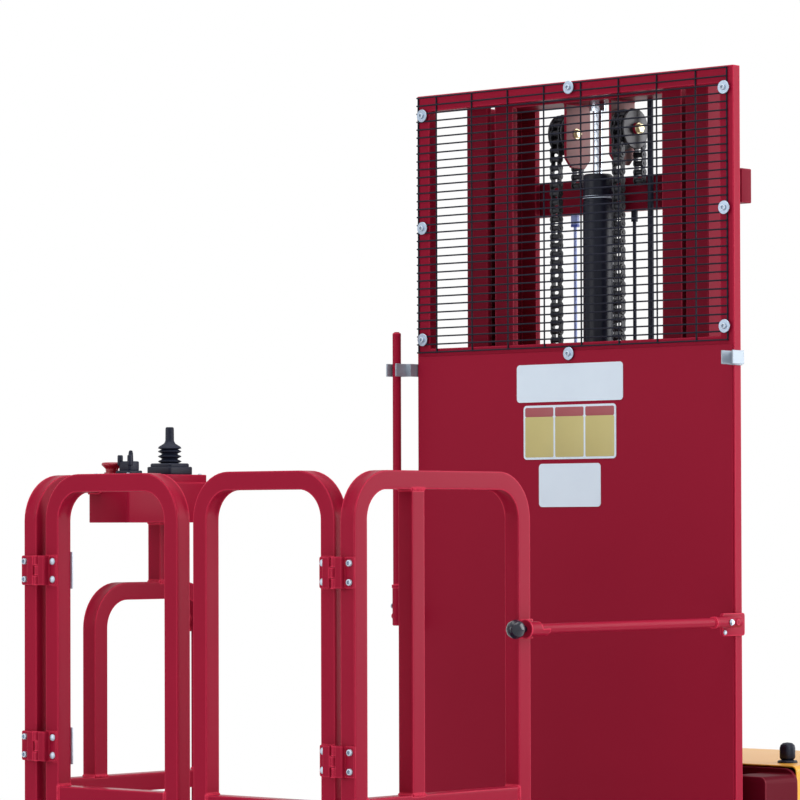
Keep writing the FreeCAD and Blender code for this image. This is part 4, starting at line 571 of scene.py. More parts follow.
class PICKER_OT_finishes(bpy.types.Operator):
    """Mixes the paints, metals, plastics and rubbers of the truck"""

    bl_idname = "picker.finishes"
    bl_label = "Mix the finishes"

    def execute(self, context):
        colours = context.scene.truck_colours
        # The edge highlight set on the paints below is painted highlight along their edges.
        finish("cage_powder", tuple(colours.cage), shade=0.05, rough=(0.28, 0.38), grain=700.0, bump=0.10,
               specular=0.06, edge_highlight=0.85)
        finish("guard_powder", tuple(colours.cage), shade=0.06, patch=1.6, rough=(0.34, 0.46), grain=700.0,
               bump=0.12, specular=0.06, edge_highlight=0.85)
        finish("sheet_powder", tuple(part * 0.94 for part in colours.cage), shade=0.05, patch=1.2,
               rough=(0.40, 0.52), grain=600.0, bump=0.14, specular=0.08)
        # Painted shade: the mast and chassis paints take the darker mast red.
        finish("mast_paint", tuple(colours.mast), shade=0.12, patch=4.0, rough=(0.34, 0.52), grain=500.0,
               bump=0.15, specular=0.05, edge_highlight=0.9)
        # Painted shade: the bulkhead is the mast red drawn darker still.
        finish("bulkhead_paint", tuple(part * 0.62 for part in colours.mast), shade=0.08, patch=3.0,
               rough=(0.38, 0.5), grain=500.0, bump=0.12, specular=0.04, edge_highlight=0.9)
        finish("chassis_paint", tuple(colours.mast), shade=0.12, patch=4.0, rough=(0.36, 0.55), grain=500.0,
               bump=0.15, specular=0.16, edge_highlight=0.6, dust=0.25)
        finish("hood_paint", tuple(colours.hood), shade=0.05, patch=2.0, rough=(0.26, 0.36), grain=700.0,
               bump=0.08, specular=0.2, edge_highlight=0.25, dust=0.05)
        finish("wire_coat", tuple(colours.black), shade=0.2, rough=(0.4, 0.55), grain=1200.0, bump=0.1,
               specular=0.15)
        finish("barrel_black", tuple(colours.black), shade=0.2, patch=6.0, rough=(0.28, 0.42), grain=600.0,
               bump=0.08, specular=0.2)
        finish("pulley_black", tuple(colours.black), shade=0.25, patch=30.0, rough=(0.5, 0.65), grain=800.0,
               bump=0.2, specular=0.12)
        finish("bright_chrome", (0.62, 0.68, 0.78), shade=0.06, patch=2.0, rough=(0.07, 0.14), grain=300.0,
               bump=0.01, metal=1.0, stretch=(1.0, 1.0, 0.05))
        finish("bright_zinc", tuple(colours.zinc), shade=0.12, patch=60.0, rough=(0.42, 0.55), grain=1500.0,
               bump=0.05, metal=0.6)
        # Painted shade: clip_zinc and washer_zinc are darker copies of the zinc, for places that the lights
        # over-brighten.
        finish("clip_zinc", (0.34, 0.40, 0.47), shade=0.1, patch=30.0, rough=(0.42, 0.55), grain=1200.0,
               bump=0.05, metal=0.3)
        finish("washer_zinc", (0.36, 0.44, 0.55), shade=0.15, patch=60.0, rough=(0.3, 0.45), grain=1500.0,
               bump=0.05, metal=0.8)
        finish("yellow_zinc", tuple(colours.passivate), shade=0.12, patch=60.0, rough=(0.3, 0.45),
               grain=1500.0, bump=0.05, metal=0.8)
        finish("oiled_steel", (0.030, 0.031, 0.038), shade=0.4, patch=70.0, rough=(0.3, 0.5), grain=1200.0,
               bump=0.08, metal=0.35, specular=0.35)
        finish("machined_steel", (0.50, 0.51, 0.53), shade=0.15, patch=20.0, rough=(0.25, 0.4), grain=900.0,
               bump=0.05, metal=1.0)
        finish("black_plastic", tuple(colours.plastic), shade=0.15, patch=20.0, rough=(0.38, 0.5),
               grain=1600.0, bump=0.18, specular=0.25)
        finish("knob_plastic", tuple(colours.plastic), shade=0.15, patch=30.0, rough=(0.14, 0.24),
               grain=1200.0, bump=0.03)
        finish("bellows_rubber", tuple(colours.plastic), shade=0.2, patch=25.0, rough=(0.45, 0.6),
               grain=1500.0, bump=0.2, specular=0.25)
        finish("mat_rubber", tuple(colours.rubber), shade=0.25, patch=5.0, rough=(0.6, 0.8), grain=1200.0,
               bump=0.3, dust=0.35)
        finish("tyre_rubber", tuple(colours.rubber), shade=0.3, patch=12.0, rough=(0.55, 0.8), grain=900.0,
               bump=0.3, dust=0.3)
        finish("button_plastic", (0.38, 0.011, 0.032), shade=0.05, patch=30.0, rough=(0.2, 0.3), grain=900.0,
               bump=0.03)
        finish("blank_white", tuple(colours.white), shade=0.04, patch=9.0, rough=(0.35, 0.5), grain=900.0,
               bump=0.03)
        finish("blank_yellow", tuple(colours.panel), shade=0.05, patch=9.0, rough=(0.35, 0.5), grain=900.0,
               bump=0.03)
        finish("blank_red", (0.36, 0.07, 0.085), shade=0.05, patch=9.0, rough=(0.35, 0.5), grain=900.0,
               bump=0.03)
        finish("cable_sheath", (0.30, 0.38, 0.72), shade=0.1, patch=30.0, rough=(0.4, 0.55), grain=900.0,
               bump=0.05)
        finish("plug_blue", (0.03, 0.06, 0.35), shade=0.1, patch=30.0, rough=(0.35, 0.45), grain=900.0,
               bump=0.05)
        finish("cast_grey", (0.22, 0.23, 0.24), shade=0.12, patch=20.0, rough=(0.4, 0.6), grain=500.0,
               bump=0.2, metal=0.3, dust=0.15)
        finish("cheek_dusty", (0.24, 0.115, 0.115), shade=0.2, patch=40.0, rough=(0.6, 0.8), grain=600.0,
               bump=0.25)
        return {"FINISHED"}


# Cage

class PICKER_OT_side_frames(bpy.types.Operator):
    """Builds the two side frames of the cage from bent square tube"""

    bl_idname = "picker.side_frames"
    bl_label = "Side frames"

    def execute(self, context):
        for label, side in SIDES:
            self.side_frame(context.scene.cage_sizes, label, side)
        return {"FINISHED"}

    def side_frame(self, cage, label, side):
        """The tubes of one side frame with a bead round each joint. The right frame is closed at the
        top; the left one has the low loop and carries the console on a post."""
        half = cage.tube / 2
        low, high = box("side_frame_" + label)
        x = (low[0] + high[0]) / 2
        near, far = low[1] + half, high[1] - half
        floor, top = low[2], high[2] - half
        middle = low[1] + cage.middle_post + half
        rail = floor + cage.mid_rail - half

        def tube(corners):
            return bent_tube(corners, cage.bend - half, 0, x, half, cage.tube_corner, cage.dent)

        def bead(y, z, axis):
            return weld_round((x, y, z), axis, half, cage.bead)

        parts = [
            tube([(near + half, rail), (far - half, rail)]),
            bead(near + half, rail, 1), bead(far - half, rail, 1),
            bead(near, floor, 2), bead(far, floor, 2), bead(middle, rail + half, 2),
        ]
        if side > 0:
            parts += [
                tube([(near, floor), (near, top), (far, top), (far, floor)]),
                tube([(middle, rail + half), (middle, top - half)]),
                bead(middle, top - half, 2),
            ]
        else:
            console = box("console_box")[0]
            console_post, lap = 0.106, 0.001
            post = high[1] - half - console_post
            loop = floor + cage.loop - half
            parts += [
                tube([(near, floor), (near, top), (console[1] + lap, top)]),
                tube([(middle, rail + half), (middle, loop), (far, loop), (far, floor)]),
                tube([(post, loop + half), (post, console[2] + lap)]),
                bead(post, loop + half, 2), bead(post, console[2], 2), bead(console[1], top, 1),
            ]
        piece("side_frame_%s_tubes" % label, joined(parts), "platform", "cage_powder", "cage_red",
              ("side_frame_" + label,))


class PICKER_OT_gates(bpy.types.Operator):
    """Builds the two swing gates with their spring hinges and screws"""

    bl_idname = "picker.gates"
    bl_label = "Swing gates"

    def execute(self, context):
        cage = context.scene.cage_sizes
        low, high = box("gate_right")
        half = cage.tube / 2
        level = high[1] - half
        hinge = context.scene.hinge_sizes
        leaves, backs, fixed, domes, sockets = self.hinges(hinge, level - half, level + half)
        gate = joined(self.tubes(cage, low, high, level) + leaves)
        screws = joined([domes, *backs])
        for label, side in SIDES:
            body = "gate_%s_swing" % label
            loop_here, screws_here = (gate, screws) if side > 0 else (mirrored(gate), mirrored(screws))
            piece("gate_%s_loop" % label, loop_here, body, "cage_powder", "cage_red", ("gate_" + label,))
            piece("gate_%s_screws" % label, screws_here, body, "bright_zinc", "clip_steel")
        both = joined(fixed + [mirrored(surface) for surface in fixed])
        piece("hinge_covers", both, "platform", "cage_powder", "cage_red", ("gate_hinges",))
        piece("hinge_screws", joined([sockets, mirrored(sockets)]), "platform", "bright_zinc", "clip_steel")
        return {"FINISHED"}

    def tubes(self, cage, low, high, level):
        """The right gate's loop and its bottom tube, with a bead round each end of the tube."""
        half = cage.tube / 2
        turn = cage.bend - half
        inner, outer = low[0] + half, low[0] + cage.gate - half
        foot, top = low[2], high[2] - half
        outlines = ([(inner, foot), (inner, top), (outer, top), (outer, foot)],
                    [(inner + half, foot + half), (outer - half, foot + half)])
        parts = [bent_tube(outline, turn, 1, level, half, cage.tube_corner, cage.dent) for outline in outlines]
        for x in (inner + half, outer - half):
            parts.append(weld_round((x, level, foot + half), 0, half, cage.bead))
        return parts

    def hinges(self, hinge, gate_face, gate_back):
        """The right side's two spring hinges: the leaves on the gate, the plates behind it, the halves
        fixed to the post, and the screws of the gate and of the post."""
        low, high = box("gate_hinges")
        tall, knuckle_tall, play, proud = 0.050, 0.016, 0.0008, 0.011
        screw_in, screw_out, screw_up = 0.030, 0.032, 0.010
        back_far, back_near, back_thick, back_over = 0.042, 0.020, 0.002, 0.006
        lap, set_back = 0.001, 0.0005
        axis, cover_face, post_face = hinge.axis, low[1], low[1] + proud
        axis_y = cover_face + hinge.knuckle
        web_y = (cover_face + set_back, axis_y + hinge.knuckle * 0.6)
        pin = (axis, axis_y, 0)
        leaves, backs, fixed, dome_places, socket_places = [], [], [], [], []
        for z in (low[2], high[2] - tall):
            whole = (z, z + tall)
            gap = knuckle_tall + play
            inside = (z + gap, z + tall - gap)
            leaves += [
                sheet_between((axis - hinge.leaf, axis - hinge.cover), (gate_face - hinge.thick, gate_face),
                              whole, 0.0012, 0.003),
                sheet_between((axis - hinge.cover, axis - hinge.slot), (cover_face, gate_face),
                              whole, 0.0016, 0.002),
                sheet_between((axis - hinge.slot - lap, axis), web_y, inside, 0.0008, 0.001),
                rod(*inside, hinge.knuckle, pin),
            ]
            fixed += [
                sheet_between((axis + hinge.cover, axis + hinge.flange), (post_face - hinge.thick, post_face),
                              whole, 0.0012, 0.003),
                sheet_between((axis + hinge.slot, axis + hinge.cover), (cover_face, post_face),
                              whole, 0.0016, 0.002),
            ]
            for start in (z, z + tall - knuckle_tall):
                part = (start, start + knuckle_tall)
                fixed.append(sheet_between((axis, axis + hinge.slot + lap), web_y, part, 0.0008, 0.001))
                fixed.append(rod(*part, hinge.knuckle, pin))
            for height in (z + screw_up, z + tall - screw_up):
                dome_places.append((axis - screw_in, gate_face - hinge.thick, height))
                socket_places.append((axis + screw_out, post_face - hinge.thick, height))
            backs.append(sheet_between((axis - back_far, axis - back_near),
                                       (gate_back, gate_back + back_thick),
                                       (z - back_over, z + tall + back_over), 0.0005, 0.002))
        domes = fasteners(dome_screw(0.0058), dome_places, 1, -1.0)
        sockets = fasteners(socket_screw(0.0052), socket_places, 1, -1.0)
        return leaves, backs, fixed, domes, sockets


class PICKER_OT_deck(bpy.types.Operator):
    """Finishes the deck, its rubber mat with round studs, and the fixed front panel"""

    bl_idname = "picker.deck"
    bl_label = "Deck and front panel"

    def execute(self, context):
        cage = context.scene.cage_sizes
        softened("platform_deck", "cage_powder", cage.edge)
        softened("front_panel", "cage_powder", cage.edge)
        low, high = box("deck_mat")
        stud_high, pitch, margin = 0.001, 0.028, 0.020
        mat = rounded_block(low, (high[0], high[1], high[2] - stud_high), 0.0008, 0.012)
        columns = np.arange(low[0] + margin, high[0] - margin, pitch)
        rows = np.arange(low[1] + margin, high[1] - margin, pitch)
        grid_x, grid_y = np.meshgrid(columns, rows)
        places = np.stack([grid_x.ravel(), grid_y.ravel(), np.full(grid_x.size, high[2] - stud_high)], -1)
        stud = revolved([(-0.0005, 0), (-0.0005, 0.010), (0.0003, 0.010), (stud_high, 0.0088), (stud_high, 0)],
                        (0, 0, 0), steps=12)
        piece("deck_mat_studs", joined([mat, repeated(stud, places)]), "platform", "mat_rubber",
              "mat_black", ("deck_mat",))
        return {"FINISHED"}


# Mast guard

class PICKER_OT_guard(bpy.types.Operator):
    """Builds the guard frame, the wire mesh with its washers, and the back sheet"""

    bl_idname = "picker.guard"
    bl_label = "Mast guard"

    def execute(self, context):
        cage = context.scene.cage_sizes
        guard = context.scene.guard_sizes
        softened("guard_frame", "guard_powder", 0.0012)
        softened("back_plate", "sheet_powder", 0.0008)
        self.mesh(guard)
        low, high = box("guard_frame")
        beads = []
        inset = 0.001
        for side in (-1, 1):
            x = side * (high[0] - guard.rail)
            z = high[2] - guard.rail
            beads.append(weld((x, low[1] + inset, z), (x, high[1] - inset, z), cage.bead))
        piece("guard_welds", joined(beads), "platform", "guard_powder", "guard_red")
        return {"FINISHED"}

    def mesh(self, guard):
        """The level wires, the upright wires behind them, and the washers with their screws."""
        low, high = box("guard_mesh")
        radius = guard.wire / 2
        turn = np.linspace(0, 2 * np.pi, 10, endpoint=False)
        ring = radius * np.stack([np.cos(turn), np.sin(turn)], -1)
        rows = int(round((high[2] - low[2] - guard.wire) / guard.row)) + 1
        heights = high[2] - radius - guard.row * np.arange(rows)
        levels = repeated(prism(ring, 0, low[0], high[0]),
                          np.stack([0 * heights, 0 * heights + low[1] + radius, heights], -1))
        first_column, columns = 0.045, 8
        sides = np.concatenate([[low[0] + radius, high[0] - radius],
                                low[0] + radius + first_column + guard.column * np.arange(columns)])
        uprights = repeated(prism(ring, 2, low[2], high[2]),
                            np.stack([sides, 0 * sides + high[1] - radius, 0 * sides], -1))
        piece("guard_mesh_wires", joined([levels, uprights]), "platform", "wire_coat", "mesh_black",
              ("guard_mesh",))
        edge_in, hole, thick = 0.017, 0.004, 0.0018
        edge_x = box("guard_frame")[1][0] - edge_in
        places = [
            (-edge_x, 2.134), (0.002, 2.160), (edge_x, 2.133), (-edge_x, 1.922), (edge_x, 1.921),
            (-edge_x, 1.712), (edge_x, 1.712), (0.0, 1.675),
        ]
        spots = [(x, low[1] + 0.0002, z) for x, z in places]
        rings = fasteners(washer(guard.washer, hole, thick), spots, 1, -1.0)
        heads = fasteners(socket_screw(0.0052), [(x, y - 0.0014, z) for x, y, z in spots], 1, -1.0)
        piece("mesh_washers", rings, "platform", "washer_zinc", "clip_steel")
        piece("mesh_screws", heads, "platform", "bright_zinc", "clip_steel")


class PICKER_OT_plates(bpy.types.Operator):
    """Builds the blank plates on the back sheet, the yellow one with three plain panels"""

    bl_idname = "picker.plates"
    bl_label = "Blank plates"

    def execute(self, context):
        dress("blank_plates_white", "blank_white")
        low, high = box("blank_plate_yellow")
        border, head, proud = 0.004, 0.017, 0.0003
        width = (high[0] - low[0] - border * 4) / 3
        face = (low[1] - proud, low[1] + proud)
        split = high[2] - border - head
        panels, heads = [], []
        for i in range(3):
            start = low[0] + border + i * (width + border)
            across = (start, start + width)
            panels.append(sheet_between(across, face, (low[2] + border, split), 0.0002, 0.003))
            heads.append(sheet_between(across, face, (split, high[2] - border), 0.0002, 0.003))
        dress("blank_plate_yellow", "blank_white")
        piece("yellow_plate_panels", joined(panels), "platform", "blank_yellow", "plate_yellow")
        piece("yellow_plate_heads", joined(heads), "platform", "blank_red", "cage_red")
        return {"FINISHED"}


# Console and drop bars

class PICKER_OT_console(bpy.types.Operator):
    """Builds the console box with the joystick, travel switch and stop button"""

    bl_idname = "picker.console"
    bl_label = "Console"

    def execute(self, context):
        low, high = box("console_box")
        self.case(low, high)
        self.joystick(high[2])
        self.switch(high[2])
        self.button(high[2])
        return {"FINISHED"}

    def case(self, low, high):
        """The console's shell and its lid, with a screw near each corner of the lid."""
        lid, screw_x, screw_y = 0.014, 0.009, 0.010
        shell = rounded_block(low, (high[0], high[1], high[2] - lid), 0.0012, 0.005)
        cover = rounded_block((low[0], low[1], high[2] - lid), high, 0.0016, 0.005)
        piece("console_case", joined([shell, cover]), "platform", "cage_powder", "console_red",
              ("console_box",))
        places = [(x, y, high[2]) for x in (low[0] + screw_x, high[0] - screw_x)
                  for y in (low[1] + screw_y, high[1] - screw_y)]
        piece("console_screws", fasteners(dome_screw(0.0035), places, 2, 1.0), "platform", "bright_zinc",
              "clip_steel")

    def joystick(self, top):
        """The joystick: a stepped square base, bellows whose radius goes by the cosine of the height,
        a skirt and the grip."""
        x, y = -0.330, -0.460
        base, inset = 0.029, 0.0035
        tip = box("controls")[1][2]
        seat = block_on(x, y, (base, base), (top, top + 0.014), 0.002, 0.005)
        upper = base - inset
        shoulder = block_on(x, y, (upper, upper), (top + 0.012, top + 0.020), 0.0030, 0.006)
        turn = np.linspace(0, 6 * np.pi, 61)
        bellows = np.stack([top + 0.019 + 0.026 * turn / turn[-1], 0.0172 - 0.0032 * np.cos(turn)], -1)
        skirt = [(top + 0.044, 0.014), (top + 0.046, 0.0205), (top + 0.049, 0.0190), (top + 0.0545, 0.010),
                 (top + 0.0585, 0.0078)]
        grip = [(top + 0.0600, 0.0076), (top + 0.078, 0.0074), (tip - 0.0015, 0.0072), (tip, 0.0058), (tip, 0)]
        rubber = revolved(np.concatenate([[(top + 0.018, 0)], bellows, skirt, grip]), (x, y, 0), steps=40)
        piece("joystick_base", joined([seat, shoulder]), "platform", "black_plastic", "control_black",
              ("controls",))
        piece("joystick_bellows", rubber, "platform", "bellows_rubber", "control_black")

    def switch(self, top):
        """The travel switch: a plate, its body, an ear at each side and the toggle."""
        x, y = -0.305, -0.583
        ear_x, ear_y = 0.012, -0.0095
        parts = [
            block_on(x, y, (0.017, 0.017), (top, top + 0.006), 0.0015, 0.004),
            block_on(x, y, (0.014, 0.013), (top + 0.005, top + 0.022), 0.0025, 0.005),
        ]
        for side in (-1, 1):
            parts.append(block_on(x + side * ear_x, y + ear_y, (0.004, 0.0045), (top + 0.014, top + 0.0325),
                                  0.002, 0.003))
        parts.append(revolved([(0, 0), (0, 0.0045), (0.014, 0.004), (0.0185, 0.003), (0.0195, 0)],
                              (x, y + 0.004, top + 0.0215), steps=20))
        piece("travel_switch", joined(parts), "platform", "black_plastic", "control_black")

    def button(self, top):
        """The stop button: a collar and a mushroom head."""
        low, high = box("stop_button")
        middle = ((low[0] + high[0]) / 2, (low[1] + high[1]) / 2, top)
        over = 0.004
        tall = high[2] - top + over
        collar = revolved([(0, 0), (0, 0.0135), (0.003, 0.0135), (0.0035, 0.0125), (0.0035, 0)], middle)
        head = revolved([
            (0.003, 0), (0.003, 0.0105), (tall * 0.45, 0.0112), (tall * 0.62, 0.0150), (tall * 0.74, 0.0178),
            (tall * 0.86, 0.0180), (tall * 0.95, 0.0168), (tall * 0.99, 0.0120), (tall, 0.0),
        ], middle, steps=40)
        piece("stop_button_head", joined([collar, head]), "platform", "button_plastic", "button_red",
              ("stop_button",))


def knob_flats(turn):
    """Radius of a ball knob over the turn: eight faint flats round it."""
    return 1 - 0.022 + 0.022 * np.cos(8 * turn)


class PICKER_OT_drop_bars(bpy.types.Operator):
    """Builds the drop bars with their sleeves, receivers, latch knobs, pivots and parking clips"""

    bl_idname = "picker.drop_bars"
    bl_label = "Drop bars"

    def execute(self, context):
        bars = context.scene.bar_sizes
        softened("bar_receivers", "cage_powder", 0.0006)
        softened("bar_clips", "clip_zinc", 0.0008)
        pivot_y = self.bars(bars)
        self.knobs(bars)
        self.brackets(bars, pivot_y)
        return {"FINISHED"}

    def bars(self, sizes):
        """Each bar is a round tube with a sleeve round its pivot end; returns the pivot's place."""
        low, high = box("bar_right")
        centre = (low + high) / 2
        middle = (centre[0], 0, centre[2])
        play, wall = 0.0003, 0.0027
        sleeve_round = (high[2] - low[2]) / 2 - play
        tube_round = sleeve_round - wall
        tube = revolved([
            (low[1], 0.0), (low[1], tube_round - 0.004), (low[1] + 0.003, tube_round),
            (high[1] - sleeve_round, tube_round), (high[1] - 0.006, tube_round), (high[1] - 0.006, 0.0),
        ], middle, 1)
        start = high[1] - sizes.sleeve
        sleeve = revolved([
            (start, tube_round - 0.001), (start, sleeve_round), (start + 0.006, sleeve_round),
            (start + 0.007, sleeve_round - 0.0012), (high[1] - 0.0015, sleeve_round - 0.0012),
            (high[1], sleeve_round - 0.003), (high[1], 0.0),
        ], middle, 1)
        lying = joined([tube, sleeve])
        piece("bar_right_rod", lying, body_of("bar_right"), "cage_powder", node_slot("bar_right"),
              ("bar_right",))
        pivot_y = high[1] - sizes.pivot_back
        left_low, left_high = box("bar_left")
        left = (left_low + left_high) / 2
        pivot_z = left_low[2] + sizes.pivot_back
        x, y, z = lying.points.T
        raised = np.stack([left[0] + x - centre[0], left[1] + z - centre[2], pivot_z + pivot_y - y], -1)
        piece("bar_left_rod", Surface(raised, lying.faces), body_of("bar_left"), "cage_powder",
              node_slot("bar_left"), ("bar_left",))
        return pivot_y

    def knobs(self, sizes):
        """The ball knobs with faint flats round them, on their stems."""
        low, high = box("ball_knobs")
        radius = (high[2] - low[2]) / 2
        middle_z = (high[2] + low[2]) / 2
        centre = low[1] + radius
        turn = np.linspace(0, np.pi * 0.86, 24)
        ball = np.stack([-radius * np.cos(turn), radius * np.sin(turn)], -1)
        neck = [(radius * 0.95, sizes.stem), (high[1] - centre, sizes.stem), (high[1] - centre, 0.0)]
        profile = np.concatenate([ball, neck])
        knobs = [revolved(profile, (side * (high[0] - radius), centre, middle_z), 1, 40, knob_flats)
                 for side in (-1, 1)]
        piece("latch_knobs", joined(knobs), "platform", "knob_plastic", "knob_black", ("ball_knobs",))

    def brackets(self, sizes, pivot_y):
        """The bracket plates with the pivot pins, a screw low on each, and a clamp bolt on each sleeve."""
        low, high = box("bar_right")
        bracket_low, bracket_high = box("bar_brackets")
        pivot_z = (low[2] + high[2]) / 2
        foot_x = box("guard_frame")[1][0]
        face = foot_x + sizes.bracket
        plate = rounded_block((foot_x, bracket_low[1], bracket_low[2]),
                              (face, bracket_high[1], bracket_high[2]), 0.0008, 0.005, 0)
        pin = revolved([(face - 0.001, 0), (face - 0.001, 0.006), (high[0], 0.006), (high[0] + 0.001, 0.0052),
                        (high[0] + 0.001, 0)], (0, pivot_y, pivot_z), 0, 24)
        bracket = joined([plate, pin])
        piece("bar_bracket_plates", joined([bracket, mirrored(bracket)]), "platform", "cage_powder",
              node_slot("bar_brackets"), ("bar_brackets",))
        screw_in, proud = 0.0065, 0.0004
        screw = fasteners(dome_screw(sizes.bolt * 0.9),
                          [(face, bracket_low[1] + screw_in, bracket_low[2] + screw_in)], 0, 1.0)
        piece("bracket_screws", joined([screw, mirrored(screw)]), "platform", "bright_zinc", "clip_steel")
        head = hex_head(sizes.bolt)
        lowered = fasteners(head, [(high[0] + proud, pivot_y - sizes.bolt_ahead, pivot_z)], 0, 1.0)
        piece("bar_clamp_right", lowered, body_of("bar_right"), "bright_zinc", "clip_steel")
        raised = fasteners(head, [(high[0] + proud, pivot_y, pivot_z + sizes.bolt_ahead)], 0, 1.0)
        piece("bar_clamp_left", mirrored(raised), body_of("bar_left"), "bright_zinc", "clip_steel")


# Mast

def chain_route(at, low, front, rear, top, radius, turn_y):
    """Places along a chain: up the front strand, half round the pulley and down behind it."""
    first = top - low
    wrap = math.pi * radius
    angle = (at - first) / radius
    stretches = [at < first, at < first + wrap]
    y = np.select(stretches, [np.full_like(at, front), turn_y - radius * np.cos(angle)], rear)
    z = np.select(stretches, [low + at, top + radius * np.sin(angle)], top - (at - first - wrap))
    return np.stack([y, z], -1)


class PICKER_OT_chains(bpy.types.Operator):
    """Builds the two lift chains link by link, up the mast and round their pulleys"""

    bl_idname = "picker.chains"
    bl_label = "Lift chains"

    def execute(self, context):
        chain = context.scene.chain_sizes
        low, high = box("lift_chains")
        pulley_low, pulley_high = box("chain_pulleys")
        turn_y = (pulley_low[1] + pulley_high[1]) / 2
        top = (pulley_low[2] + pulley_high[2]) / 2
        strand_in, rear_low = 0.007, 1.990
        front = low[1] + strand_in
        radius = turn_y - front
        total = (top - low[2]) + math.pi * radius + (top - rear_low)
        count = int(total / chain.pitch)
        pins = chain_route(np.arange(count + 1) * chain.pitch, low[2], front, turn_y + radius, top, radius,
                           turn_y)
        pins[:, 1] = np.minimum(pins[:, 1], high[2])
        middles = (pins[:-1] + pins[1:]) / 2
        ways = np.diff(pins, axis=0)
        ways /= np.linalg.norm(ways, axis=1)[:, None]
        frames = np.zeros((count, 3, 3))
        frames[:, 0, 0] = 1.0
        frames[:, 1, 1:] = ways
        frames[:, 2, 1] = -ways[:, 1]
        frames[:, 2, 2] = ways[:, 0]
        arc = np.radians(np.linspace(-128, 128, 9))
        end = np.stack([chain.pitch / 2 + chain.plate * np.cos(arc), chain.plate * np.sin(arc)], -1)
        outline = np.concatenate([end, -end])
        inner_pair, outer_pair = (joined([prism(outline, 0, near, far), prism(outline, 0, -far, -near)])
                                  for near, far in ((0.0062, 0.0082), (0.0086, 0.0106)))
        pin_half = [(0.0060, chain.roller), (0.0061, 0.0028), (0.0106, 0.0028), (0.0118, 0.0026), (0.0118, 0)]
        pin = revolved([(-x, across) for x, across in reversed(pin_half)] + pin_half, (0, 0, 0), 0, 12)
        pulley_half = 0.016
        parts = []
        for x in (pulley_low[0] + pulley_half, pulley_high[0] - pulley_half):
            spots = np.column_stack([np.full(count, x), middles])
            parts.append(repeated(inner_pair, spots[::2], frames[::2]))
            parts.append(repeated(outer_pair, spots[1::2], frames[1::2]))
            parts.append(repeated(pin, np.column_stack([np.full(count + 1, x), pins])))
        piece("lift_chain_links", joined(parts), "inner_stage", "oiled_steel", "chain_steel",
              ("lift_chains",))
        return {"FINISHED"}


